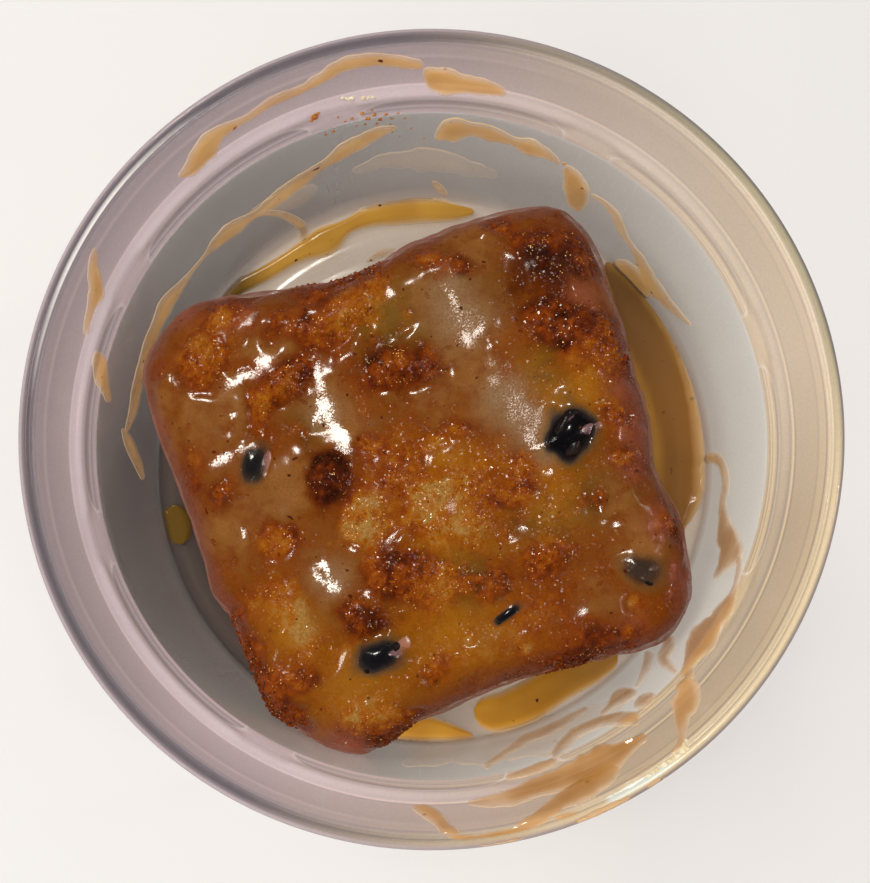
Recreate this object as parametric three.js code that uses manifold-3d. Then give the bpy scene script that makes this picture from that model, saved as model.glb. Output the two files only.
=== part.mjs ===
// A square of bread pudding with raisins, in the round clear tub that it is served in.
// Pools of caramel sauce lie in the groove of the tub's floor.
// Millimetres, +Z up. The origin is the middle of the tub's foot, on the table.
import * as THREE from 'three';
import { mergeVertices } from 'three/addons/utils/BufferGeometryUtils.js';
import Module from 'manifold-3d';

const wasm = await Module();
wasm.setup();

// ---- driving dimensions -------------------------------------------------------------

const GAP = 0.3; // clearance that every piece keeps to its neighbours

const TUB = {
  height: 60,
  rimRadius: 58.5, // outside of the rolled rim, which takes a snap-on lid
  wallTopRadius: 50.3, // inside of the tapered wall, under the stacking windows
  wallTopHeight: 45,
  wallFootRadius: 48, // inside of the tapered wall, at the floor
  wall: 0.8,
  footHeight: 3.4, // where the tapered wall starts
  discRadius: 38.6, // flat raised middle of the floor
  discHeight: 3,
  grooveRadius: 40.8, // the groove runs from here to the wall
  grooveHeight: 1.3,
  windows: 8, // stacking windows pressed into the shoulder
  bridgeAngle: 9, // degrees of plain shoulder between two windows
  bridgeStart: 17, // direction of the first bridge, in degrees from +X
};

const PUDDING = {
  centre: new THREE.Vector2(0, -5),
  base: TUB.discHeight + GAP,
  top: 37.5, // height of the plain crust above the table
  taper: 0.1, // share of the radius lost from the widest level to the base
  widest: 0.72, // height of the widest level, as a share of the pudding's height
  shoulder: 0.78, // the top starts to round over at this share of the radius
  shoulderDrop: 8,
  cornerPower: 7.3, // the higher, the squarer the corners
};

// The four sides: direction that each faces, in degrees, and its distance from the centre.
const SIDES = [
  { facing: 16, distance: 35.6 },
  { facing: 108.5, distance: 37 },
  { facing: 201.7, distance: 37.1 },
  { facing: 288.7, distance: 35 },
];

// Bulges and hollows of the outline: direction, half width in degrees, and how far out.
const OUTLINE_LUMPS = [
  { at: 258, width: 6, out: 2 },
  { at: 114, width: 13, out: -1.7 },
  { at: 144, width: 6, out: 2.1 },
  { at: 291, width: 18, out: -1.2 },
  { at: 243, width: 6, out: -1.4 },
  { at: 3, width: 9, out: -1.3 },
  { at: 324, width: 6, out: 1.2 },
  { at: 207, width: 6, out: 1.2 },
];

// Crust knobs and glazed hollows of the top: place, half length along `turn` degrees,
// half width across it, and height.
const CRUST_KNOBS = [
  { x: -35, y: 13, long: 5, wide: 4, turn: 40, rise: 1.4 }, // left corner
  { x: -31.5, y: 20.5, long: 3.5, wide: 3, turn: 0, rise: 1.2 },
  { x: -24, y: 9.5, long: 6, wide: 2.6, turn: 42, rise: 2.4 }, // left ridge
  { x: -22, y: 18.5, long: 6, wide: 2.6, turn: -5, rise: 1.6 },
  { x: -12.5, y: 22, long: 5.5, wide: 2.6, turn: 38, rise: 1.9 }, // ridge along the rim
  { x: -16.2, y: -5.5, long: 4.3, wide: 3.4, turn: 80, rise: 3.4 }, // tall dark knob
  { x: -5.8, y: 11.8, long: 4.6, wide: 3, turn: 30, rise: 2 },
  { x: 2, y: 27.8, long: 5, wide: 2.6, turn: 0, rise: 1.6 },
  { x: 17.5, y: 28, long: 6, wide: 5, turn: 60, rise: 2.2 }, // far corner
  { x: 22, y: 17, long: 7.5, wide: 5, turn: -30, rise: 2.4 },
  { x: 28.5, y: 3.8, long: 3.4, wide: 3, turn: 60, rise: 1.2 },
  { x: -0.5, y: -8.5, long: 13, wide: 10, turn: -20, rise: 1.1 }, // bare crumb, middle
  { x: -10, y: -12, long: 4, wide: 3.2, turn: 70, rise: 1 },
  { x: -6, y: -19, long: 4.6, wide: 3.8, turn: 0, rise: 1.9 },
  { x: 5.5, y: -12, long: 4.4, wide: 3.6, turn: 0, rise: 1 },
  { x: 16.5, y: -16, long: 4.4, wide: 3.2, turn: 10, rise: 1.3 },
  { x: -24, y: -14.5, long: 4, wide: 3.4, turn: 120, rise: 1.5 },
  { x: -20.5, y: -26, long: 7, wide: 3.2, turn: 112, rise: 1.6 },
  { x: -10.5, y: -26.5, long: 4, wide: 2.8, turn: -25, rise: 1.5 },
  { x: -23, y: -37, long: 4.5, wide: 3.5, turn: -30, rise: 1.3 }, // near corner
  { x: -9.5, y: -40, long: 5, wide: 3, turn: 15, rise: 1.3 },
  { x: 23.5, y: -29, long: 5.5, wide: 3, turn: 15, rise: 1.5 }, // right corner
  { x: 35, y: -12.5, long: 4, wide: 2.5, turn: 80, rise: 1.2 },
  { x: -31, y: -8, long: 3.5, wide: 2.6, turn: 60, rise: 1 },
  { x: -15.5, y: 3.5, long: 6.5, wide: 3.6, turn: 105, rise: -1.6 }, // glazed hollows
  { x: 5.5, y: 20, long: 7, wide: 5, turn: 70, rise: -1.4 },
  { x: 11, y: 6.5, long: 8, wide: 4.5, turn: -50, rise: -1 },
  { x: -22.5, y: -7.5, long: 5, wide: 2.8, turn: 110, rise: -1.1 },
  { x: 2, y: -29, long: 10, wide: 3.8, turn: 15, rise: -0.9 },
];

// Raisins: place on the top, half sizes, turn in degrees, and how far the middle lies
// above (+) or below (-) the crust round it.
const RAISINS = {
  raisin_right: { x: 22.2, y: 1.2, long: 4.1, wide: 2.9, thick: 2.4, turn: 62, lift: 0.6 },
  raisin_near: { x: -8.2, y: -32.2, long: 4.2, wide: 2.7, thick: 2.2, turn: 28, lift: 0 },
  raisin_corner: { x: 31.4, y: -19.2, long: 3.6, wide: 3, thick: 2.2, turn: -20, lift: -0.3 },
  raisin_sliver: { x: 11.2, y: -26, long: 3, wide: 1.6, thick: 1.8, turn: 40, lift: -0.5 },
  raisin_left: { x: -27.6, y: -3.4, long: 3, wide: 1.7, thick: 1.9, turn: 75, lift: -0.2 },
};

// Sauce pools of the floor: directions in degrees that each runs from and to, inner and
// outer radius, and the height of its surface.
const POOLS = {
  sauce_right: { from: -19, to: 48, inner: 35.2, outer: 47.8, level: 3.5 },
  sauce_front: { from: -80, to: -42, inner: 40.6, outer: 47.6, level: 2.8 },
  sauce_near: { from: -98, to: -82, inner: 41.6, outer: 47.5, level: 2.5 },
  sauce_back: { from: 80, to: 137, inner: 43, outer: 47.5, level: 2.5 },
  sauce_left: { from: 188, to: 196, inner: 41.4, outer: 47.2, level: 2.4 },
};

const CLEAR_PLASTIC = { color: 0xd9d6d2, roughness: 0.22, metalness: 0 };
const BROWN_CRUST = { color: 0xa4571f, roughness: 0.4, metalness: 0 };
const DARK_RAISIN = { color: 0x1d1512, roughness: 0.3, metalness: 0 };
const CARAMEL_SAUCE = { color: 0xc08f45, roughness: 0.15, metalness: 0 };

// ---- general shapes -----------------------------------------------------------------

const { degToRad, smoothstep } = THREE.MathUtils;

// Signed difference between two directions in degrees, from -180 to 180.
function turnBetween(a, b) {
  return THREE.MathUtils.euclideanModulo(a - b + 180, 360) - 180;
}

// A closed skin: ring 0 and the last ring are single points, and the rings between them
// have `columns` points each. pointAt(ring, column) gives a Vector3.
function closedSkin(rings, columns, pointAt) {
  const positions = [...pointAt(0, 0)];
  for (let ring = 1; ring < rings - 1; ring += 1) {
    for (let column = 0; column < columns; column += 1) {
      positions.push(...pointAt(ring, column));
    }
  }
  positions.push(...pointAt(rings - 1, 0));
  const last = positions.length / 3 - 1;
  const vertex = (ring, column) => 1 + (ring - 1) * columns + (column % columns);
  const index = [];
  for (let column = 0; column < columns; column += 1) {
    index.push(0, vertex(1, column), vertex(1, column + 1));
    for (let ring = 1; ring < rings - 2; ring += 1) {
      const a = vertex(ring, column);
      const b = vertex(ring, column + 1);
      const c = vertex(ring + 1, column);
      const d = vertex(ring + 1, column + 1);
      index.push(a, c, d, a, d, b);
    }
    index.push(vertex(rings - 2, column), last, vertex(rings - 2, column + 1));
  }
  const geometry = new THREE.BufferGeometry();
  geometry.setAttribute('position', new THREE.Float32BufferAttribute(positions, 3));
  geometry.setIndex(index);
  return facingOut(geometry);
}

// Turns every triangle over where the skin's signed volume is negative.
function facingOut(geometry) {
  const position = geometry.attributes.position;
  const index = geometry.index.array;
  const corner = [new THREE.Vector3(), new THREE.Vector3(), new THREE.Vector3()];
  let volume = 0;
  for (let i = 0; i < index.length; i += 3) {
    corner.forEach((point, k) => point.fromBufferAttribute(position, index[i + k]));
    volume += corner[0].dot(corner[1].clone().cross(corner[2]));
  }
  if (volume < 0) {
    for (let i = 0; i < index.length; i += 3) {
      [index[i + 1], index[i + 2]] = [index[i + 2], index[i + 1]];
    }
  }
  return geometry;
}

function toManifold(geometry) {
  const merged = mergeVertices(geometry);
  const vertProperties = new Float32Array(merged.attributes.position.array);
  const triVerts = new Uint32Array(merged.index.array);
  return new wasm.Manifold(new wasm.Mesh({ numProp: 3, vertProperties, triVerts }));
}

function toGeometry(manifold) {
  const { vertProperties, triVerts } = manifold.getMesh();
  const geometry = new THREE.BufferGeometry();
  geometry.setAttribute('position', new THREE.BufferAttribute(vertProperties, 3));
  geometry.setIndex(new THREE.BufferAttribute(triVerts, 1));
  return geometry;
}

function namedMesh(name, geometry, finish) {
  const shaded = geometry.clone();
  shaded.computeVertexNormals();
  const mesh = new THREE.Mesh(shaded, new THREE.MeshStandardMaterial(finish));
  mesh.name = name;
  return mesh;
}

// ---- tub ----------------------------------------------------------------------------

// Rings of the tub's skin from the middle of the floor, up the inside, over the rim, down
// the outside and back under the floor. `window` is the radius inside a stacking window.
function tubRings() {
  const t = TUB;
  const top = t.height;
  const inner = t.wallTopRadius;
  const shelf = t.wallTopHeight;
  const outer = inner + t.wall;
  return [
    { r: 0, z: t.discHeight },
    { r: t.discRadius, z: t.discHeight },
    { r: t.grooveRadius, z: t.grooveHeight },
    { r: t.wallFootRadius - 1.6, z: t.grooveHeight - 0.1 },
    { r: t.wallFootRadius - 0.4, z: t.grooveHeight + 0.7 },
    { r: t.wallFootRadius, z: t.footHeight },
    { r: inner, z: shelf },
    { r: inner + 0.4, z: shelf + 1.2, window: inner + 0.35 },
    { r: inner + 0.7, z: shelf + 2, window: inner + 1 },
    { r: inner + 1.6, z: shelf + 4.2, window: inner + 1.2 },
    { r: inner + 2.4, z: shelf + 5.1, window: inner + 2.3 },
    { r: inner + 3, z: shelf + 6.2 },
    { r: t.rimRadius - 2.6, z: top - 1.4 },
    { r: t.rimRadius - 2.2, z: top - 0.4 },
    { r: t.rimRadius - 1.7, z: top - 0.8 },
    { r: t.rimRadius - 1.2, z: top - 0.1 },
    { r: t.rimRadius - 0.6, z: top },
    { r: t.rimRadius, z: top - 0.6 },
    { r: t.rimRadius, z: top - 2.4 },
    { r: t.rimRadius - 0.6, z: top - 2.9 },
    { r: t.rimRadius - 1.9, z: top - 2.4 },
    { r: outer + 3, z: shelf + 5.6 },
    { r: outer + 2.4, z: shelf + 4.5 },
    { r: outer + 1.6, z: shelf + 3.6, window: outer + 1.3 },
    { r: outer + 0.7, z: shelf + 1.6, window: outer + 1 },
    { r: outer, z: shelf - 0.4 },
    { r: t.wallFootRadius + t.wall, z: t.footHeight },
    { r: t.wallFootRadius + 0.3, z: 1 },
    { r: t.wallFootRadius - 0.8, z: 0 },
    { r: t.grooveRadius + 1.6, z: 0 },
    { r: t.grooveRadius + 0.4, z: 0.6 },
    { r: t.discRadius, z: t.discHeight - t.wall },
    { r: 0, z: t.discHeight - t.wall },
  ];
}

// Directions of the tub's columns: close together at the ends of each window.
function tubDirections() {
  const pitch = 360 / TUB.windows;
  const end = TUB.bridgeAngle / 2;
  const steps = [0, end - 1, end + 1, 13, pitch / 2, pitch - 13, pitch - end - 1, pitch - end + 1];
  const directions = [];
  for (let window = 0; window < TUB.windows; window += 1) {
    steps.forEach((step) => directions.push(TUB.bridgeStart + window * pitch + step));
  }
  return directions;
}

// 1 inside a stacking window and 0 on the bridge between two.
function windowShare(direction) {
  const pitch = 360 / TUB.windows;
  const along = THREE.MathUtils.euclideanModulo(direction - TUB.bridgeStart, pitch);
  const fromBridge = Math.min(along, pitch - along);
  const end = TUB.bridgeAngle / 2;
  return smoothstep(fromBridge, end - 1, end + 1);
}

function tubGeometry() {
  const rings = tubRings();
  const directions = tubDirections();
  return closedSkin(rings.length, directions.length, (ring, column) => {
    const { r, z, window = r } = rings[ring];
    const direction = directions[column];
    const radius = THREE.MathUtils.lerp(r, window, windowShare(direction));
    const angle = degToRad(direction);
    return new THREE.Vector3(radius * Math.cos(angle), radius * Math.sin(angle), z);
  });
}

// ---- pudding ------------------------------------------------------------------------

// Radius of the pudding's widest outline in a direction given in degrees.
function outlineRadius(direction) {
  let sum = 0;
  SIDES.forEach(({ facing, distance }) => {
    const reach = Math.cos(degToRad(direction - facing)) / distance;
    sum += Math.max(reach, 0) ** PUDDING.cornerPower;
  });
  let radius = sum ** (-1 / PUDDING.cornerPower);
  OUTLINE_LUMPS.forEach(({ at, width, out }) => {
    radius += out * Math.exp(-((turnBetween(direction, at) / width) ** 2));
  });
  return radius;
}

// Uneven crumb: three crossed waves of about 5 to 9 mm, from -1 to 1.
function crumbWave(x, y, z) {
  const first = Math.sin(0.95 * x + 0.5 * y + 0.4 * z);
  const second = Math.sin(-0.6 * x + 1.1 * y + 0.7 * z + 1.3);
  const third = Math.sin(0.35 * x - 0.7 * y + 1.2 * z + 4.1);
  return (first * second + second * third + third * first) / 2;
}

// Height of the crust over the plain top at a place on it.
function crustRelief(x, y) {
  const crumbHeight = 0.45;
  let rise = crumbHeight * crumbWave(x, y, 0);
  CRUST_KNOBS.forEach((knob) => {
    const turn = degToRad(knob.turn);
    const dx = x - knob.x;
    const dy = y - knob.y;
    const along = (dx * Math.cos(turn) + dy * Math.sin(turn)) / knob.long;
    const across = (dy * Math.cos(turn) - dx * Math.sin(turn)) / knob.wide;
    rise += knob.rise * Math.exp(-((along * along + across * across) ** 1.3));
  });
  return rise;
}

// Height of the top at a share of the outline radius, without the relief.
function plainTop(share) {
  const over = Math.max(share - PUDDING.shoulder, 0) / (1 - PUDDING.shoulder);
  return PUDDING.top - PUDDING.shoulderDrop * (1 - Math.sqrt(1 - over * over));
}

// Height of the finished top over a place, for what is bedded in it.
function topHeight(x, y) {
  const dx = x - PUDDING.centre.x;
  const dy = y - PUDDING.centre.y;
  const direction = THREE.MathUtils.radToDeg(Math.atan2(dy, dx));
  const share = Math.hypot(dx, dy) / outlineRadius(direction);
  return plainTop(share) + crustRelief(x, y);
}

// The pudding's skin, grown all round by `grow`.
function puddingGeometry(grow = 0) {
  const columns = 84;
  const topRings = 17;
  const sideRings = 7;
  const bottomShares = [0.96, 0.6, 0];
  const ragged = 0.5; // depth of the crumbly side
  const rings = 1 + topRings + sideRings + bottomShares.length;
  const base = PUDDING.base - grow;
  const edgeHeight = plainTop(1);
  return closedSkin(rings, columns, (ring, column) => {
    const direction = (column * 360) / columns;
    const cos = Math.cos(degToRad(direction));
    const sin = Math.sin(degToRad(direction));
    const radius = outlineRadius(direction) + grow;
    const place = (r, z) => {
      return new THREE.Vector3(PUDDING.centre.x + r * cos, PUDDING.centre.y + r * sin, z);
    };
    if (ring <= topRings) {
      const share = Math.sin((ring / topRings) * (Math.PI / 2)) ** 0.8;
      const point = place(share * radius, plainTop(share) + grow);
      const fade = 1 - smoothstep(share, 0.9, 1);
      point.z += fade * crustRelief(point.x, point.y);
      return point;
    }
    const foot = radius * (1 - PUDDING.taper);
    if (ring <= topRings + sideRings) {
      const down = (ring - topRings) / (sideRings + 0.3);
      const z = THREE.MathUtils.lerp(edgeHeight, base, down);
      const belowWidest = Math.max(PUDDING.widest - (z - base) / (edgeHeight - base), 0);
      const r = THREE.MathUtils.lerp(radius, foot, belowWidest / PUDDING.widest);
      const point = place(r, z);
      const rough = ragged * crumbWave(point.x, point.y, z);
      return place(r + rough - ragged, z);
    }
    return place(bottomShares[ring - topRings - sideRings - 1] * foot - ragged, base);
  });
}

// ---- raisins ------------------------------------------------------------------------

// A shrivelled raisin: an ellipsoid with soft lengthwise folds, grown by `grow`.
function raisinGeometry({ x, y, long, wide, thick, turn, lift }, grow = 0) {
  const columns = 16;
  const rings = 10;
  const fold = 0.09;
  const bedded = new THREE.Matrix4().makeRotationZ(degToRad(turn));
  bedded.setPosition(x, y, topHeight(x, y) + lift);
  return closedSkin(rings, columns, (ring, column) => {
    const polar = (ring / (rings - 1)) * Math.PI;
    const round = (column / columns) * 2 * Math.PI;
    const folded = 1 + fold * Math.sin(4 * round + 2 * polar) * Math.sin(polar);
    const point = new THREE.Vector3(
      (long + grow) * Math.cos(polar),
      (wide + grow) * Math.sin(polar) * Math.cos(round) * folded,
      (thick + grow) * Math.sin(polar) * Math.sin(round) * folded,
    );
    return point.applyMatrix4(bedded);
  });
}

// ---- sauce --------------------------------------------------------------------------

// Height of the tub's floor at a radius.
function floorHeight(radius) {
  const rings = tubRings().slice(0, 7);
  for (let i = 1; i < rings.length; i += 1) {
    const { r: r0, z: z0 } = rings[i - 1];
    const { r: r1, z: z1 } = rings[i];
    if (radius <= r1) {
      return THREE.MathUtils.lerp(z0, z1, (radius - r0) / (r1 - r0));
    }
  }
  return TUB.wallTopHeight;
}

// A pool in the groove with blunt round ends. Its rings are sections across the pool.
function poolGeometry({ from, to, inner, outer, level }) {
  const sections = Math.max(9, Math.round((to - from) / 3.5));
  const across = 6; // steps from the inner edge to the outer one
  const columns = 2 * across;
  const rim = outer - 2 * GAP; // the tub's wall is flat between its columns
  const middle = (inner + rim) / 2;
  const endAngle = THREE.MathUtils.radToDeg((rim - inner) / 2 / middle);
  return closedSkin(sections + 1, columns, (ring, column) => {
    const direction = THREE.MathUtils.lerp(from, to, (1 - Math.cos((ring / sections) * Math.PI)) / 2);
    const fromEnd = Math.min(direction - from, to - direction, endAngle) / endAngle;
    const half = Math.sqrt(Math.max(1 - (1 - fromEnd) ** 2, 0)) * ((rim - inner) / 2);
    const onTop = column <= across;
    const step = onTop ? column : columns - column;
    const radius = middle - half * Math.cos((step / across) * Math.PI);
    const rounded = Math.sin((step / across) * Math.PI);
    const bed = floorHeight(radius) + GAP;
    const surface = Math.max(level, bed);
    const z = onTop ? THREE.MathUtils.lerp(bed, surface, 0.5 + 0.5 * rounded) : bed;
    const angle = degToRad(direction);
    return new THREE.Vector3(radius * Math.cos(angle), radius * Math.sin(angle), z);
  });
}

// ---- assembly -----------------------------------------------------------------------

const breadPudding = new THREE.Group();
breadPudding.add(namedMesh('tub', tubGeometry(), CLEAR_PLASTIC));

let crust = toManifold(puddingGeometry());
Object.entries(RAISINS).forEach(([name, raisin]) => {
  crust = crust.subtract(toManifold(raisinGeometry(raisin, GAP)));
  breadPudding.add(namedMesh(name, raisinGeometry(raisin), DARK_RAISIN));
});
breadPudding.add(namedMesh('pudding', toGeometry(crust), BROWN_CRUST));

const puddingRoom = toManifold(puddingGeometry(GAP));
Object.entries(POOLS).forEach(([name, pool]) => {
  const sauce = toManifold(poolGeometry(pool)).subtract(puddingRoom);
  breadPudding.add(namedMesh(name, toGeometry(sauce), CARAMEL_SAUCE));
});

export default breadPudding;
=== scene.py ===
"""Bread pudding under caramel glaze, in its round clear tub with sauce pooled on the floor."""
import math

import bmesh
import bpy
import numpy as np
from mathutils import Euler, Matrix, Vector


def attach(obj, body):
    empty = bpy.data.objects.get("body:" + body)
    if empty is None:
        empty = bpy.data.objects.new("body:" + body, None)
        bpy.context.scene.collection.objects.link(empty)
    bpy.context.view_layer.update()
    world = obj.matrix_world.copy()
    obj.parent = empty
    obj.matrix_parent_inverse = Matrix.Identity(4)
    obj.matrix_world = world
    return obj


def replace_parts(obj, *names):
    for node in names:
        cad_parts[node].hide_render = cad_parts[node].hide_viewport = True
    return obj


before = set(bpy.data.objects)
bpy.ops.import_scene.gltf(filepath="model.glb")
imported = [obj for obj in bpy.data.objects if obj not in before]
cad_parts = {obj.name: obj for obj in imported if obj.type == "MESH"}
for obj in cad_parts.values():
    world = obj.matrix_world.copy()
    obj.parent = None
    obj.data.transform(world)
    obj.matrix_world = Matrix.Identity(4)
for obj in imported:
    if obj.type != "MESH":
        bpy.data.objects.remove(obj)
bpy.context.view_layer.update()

MM = 0.001
ROOT = "root"

# ---- camera, in millimetres over the middle of the tub's foot --------------------------

IMAGE_WIDTH, IMAGE_HEIGHT = 870, 883
CAMERA_PLACE = (0.5, -26.4, 290.3)
CAMERA_TILT = 6.07  # degrees from straight down, towards the far side of the tub
SENSOR = 36.0
LENS = 67.0
FOCAL_PIXELS = LENS / SENSOR * IMAGE_HEIGHT

LAMP_PLACE = (-0.2, 0.34, 0.7)  # in metres
LIT_PLACE = (0, 0, 0.03)  # all lights face this place

# ---- tub, in millimetres ----------------------------------------------------------------

TUB_HEIGHT = 60.0
RIM_RADIUS = 58.5
WALL_TOP = (50.3, 45.0)  # radius and height of the tapered wall's upper end, inside
WALL_FOOT = (48.0, 3.4)
WALL = 0.8
DISC = (38.6, 3.0)
GROOVE = (40.8, 1.3)
WINDOWS = 8
BRIDGE_ANGLE = 9.0
BRIDGE_START = 17.0
RIM_INSET = 0.3  # how far smears stay inside the rim's edge
INSIDE_STATIONS = 22  # stations of the profile from the floor to the top of the rim

# Rings of the shoulder and rim, from the wall's top outwards: radius, and how light the ring
# is between its side's dark and light tint. The rings are painted light and shade that stand in
# for reflections in the clear plastic, and the left side's tints are painted shade, darker than the
# right's.
RINGS_LEFT = (
    (50.3, 0.55), (50.42, 0.95), (50.6, 0.66), (50.8, 0.26), (50.95, 0.5), (51.2, 0.36), (51.4, 0.42),
    (51.55, 0.7), (52.6, 0.74), (52.9, 0.82), (53.05, 0.97), (53.2, 0.6), (54.3, 0.54), (55.1, 0.48),
    (55.3, 0.64), (55.5, 0.5), (56.0, 0.46), (56.25, 0.22), (56.5, 0.04), (57.3, 0.0), (57.7, 0.1),
    (58.0, 0.42), (58.3, 0.5), (58.5, 0.3),
)
RINGS_RIGHT = (
    (50.3, 0.5), (50.45, 0.85), (50.6, 0.35), (50.75, 0.8), (50.9, 0.3), (51.05, 0.75), (51.3, 0.8),
    (51.42, 0.2), (51.55, 0.4), (52.4, 0.34), (52.8, 0.16), (53.05, 0.85), (53.25, 0.16), (53.4, 0.42),
    (55.2, 0.5), (55.32, 0.36), (55.45, 0.6), (55.9, 0.62), (56.02, 0.15), (56.15, 0.6), (56.9, 0.66),
    (57.02, 0.3), (57.15, 0.74), (57.5, 0.76), (57.8, 0.5), (58.1, 0.1), (58.5, 0.05),
)
BRIDGE_TINT = 0.72  # painted lightness of the bridges between the windows
GLINT_RADIUS = 56.9  # a long gleam along the far left of the rim
GLINT_ANGLE = 2.62
WET_STRETCH = (-1.14, -1.12, -0.98, -0.9)  # directions in which the rim's crown is wet

# ---- pudding, in millimetres ------------------------------------------------------------

CENTRE = (0.0, -5.0)
BASE = 3.3
TOP = 37.5
TAPER = 0.1
WIDEST = 0.72
SHOULDER = 0.78
SHOULDER_DROP = 8.0
TOP_REACH = 36.0  # from the middle of the top to its edge
FAR_BELOW = -9.0  # height that stands for nothing there
FLAT_SHARE = 0.69  # part of the top rings that lie inside the rounded shoulder
CRUST_GRID = (112, 42)  # rings of the crust's grid on its top and on its side
GLAZE_GRID = (80, 26)
GRAINS = 7500
CORNER_POWER = 7.3
SIDES = ((16, 35.6), (108.5, 37), (201.7, 37.1), (288.7, 35))  # facing, distance
CORNERS = (-27.6, 62.2, 155.1, 245.2, 332.4)  # directions of the corners
OUTLINE_LUMPS = (  # direction, half width in degrees, how far out
    (258, 6, 2), (114, 13, -1.7), (144, 6, 2.1), (291, 18, -1.2), (243, 6, -1.4), (3, 9, -1.3),
    (324, 6, 1.2), (207, 6, 1.2),
)

# Crust knobs and hollows: x, y, half length, half width, turn and rise.
KNOBS = (
    (-35, 13, 5, 4, 40, 1.4), (-31.5, 20.5, 3.5, 3, 0, 1.2), (-24, 9.5, 6, 2.6, 42, 2.4),
    (-22, 18.5, 6, 2.6, -5, 1.6), (-12.5, 22, 5.5, 2.6, 38, 1.9), (-16.2, -5.5, 4.3, 3.4, 80, 3.4),
    (-5.8, 11.8, 4.6, 3, 30, 2), (2, 27.8, 5, 2.6, 0, 1.6), (17.5, 28, 6, 5, 60, 2.2),
    (22, 17, 7.5, 5, -30, 2.4), (28.5, 3.8, 3.4, 3, 60, 1.2), (-0.5, -8.5, 13, 10, -20, 1.1),
    (-10, -12, 4, 3.2, 70, 1), (-6, -19, 4.6, 3.8, 0, 1.9), (5.5, -12, 4.4, 3.6, 0, 1),
    (16.5, -16, 4.4, 3.2, 10, 1.3), (-24, -14.5, 4, 3.4, 120, 1.5), (-20.5, -26, 7, 3.2, 112, 1.6),
    (-10.5, -26.5, 4, 2.8, -25, 1.5), (-23, -37, 4.5, 3.5, -30, 1.3), (-9.5, -40, 5, 3, 15, 1.3),
    (23.5, -29, 5.5, 3, 15, 1.5), (35, -12.5, 4, 2.5, 80, 1.2), (-31, -8, 3.5, 2.6, 60, 1),
    (-15.5, 3.5, 6.5, 3.6, 105, -1.6), (5.5, 20, 7, 5, 70, -1.4), (11, 6.5, 8, 4.5, -50, -1),
    (-22.5, -7.5, 5, 2.8, 110, -1.1), (2, -29, 10, 3.8, 15, -0.9),
)

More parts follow.
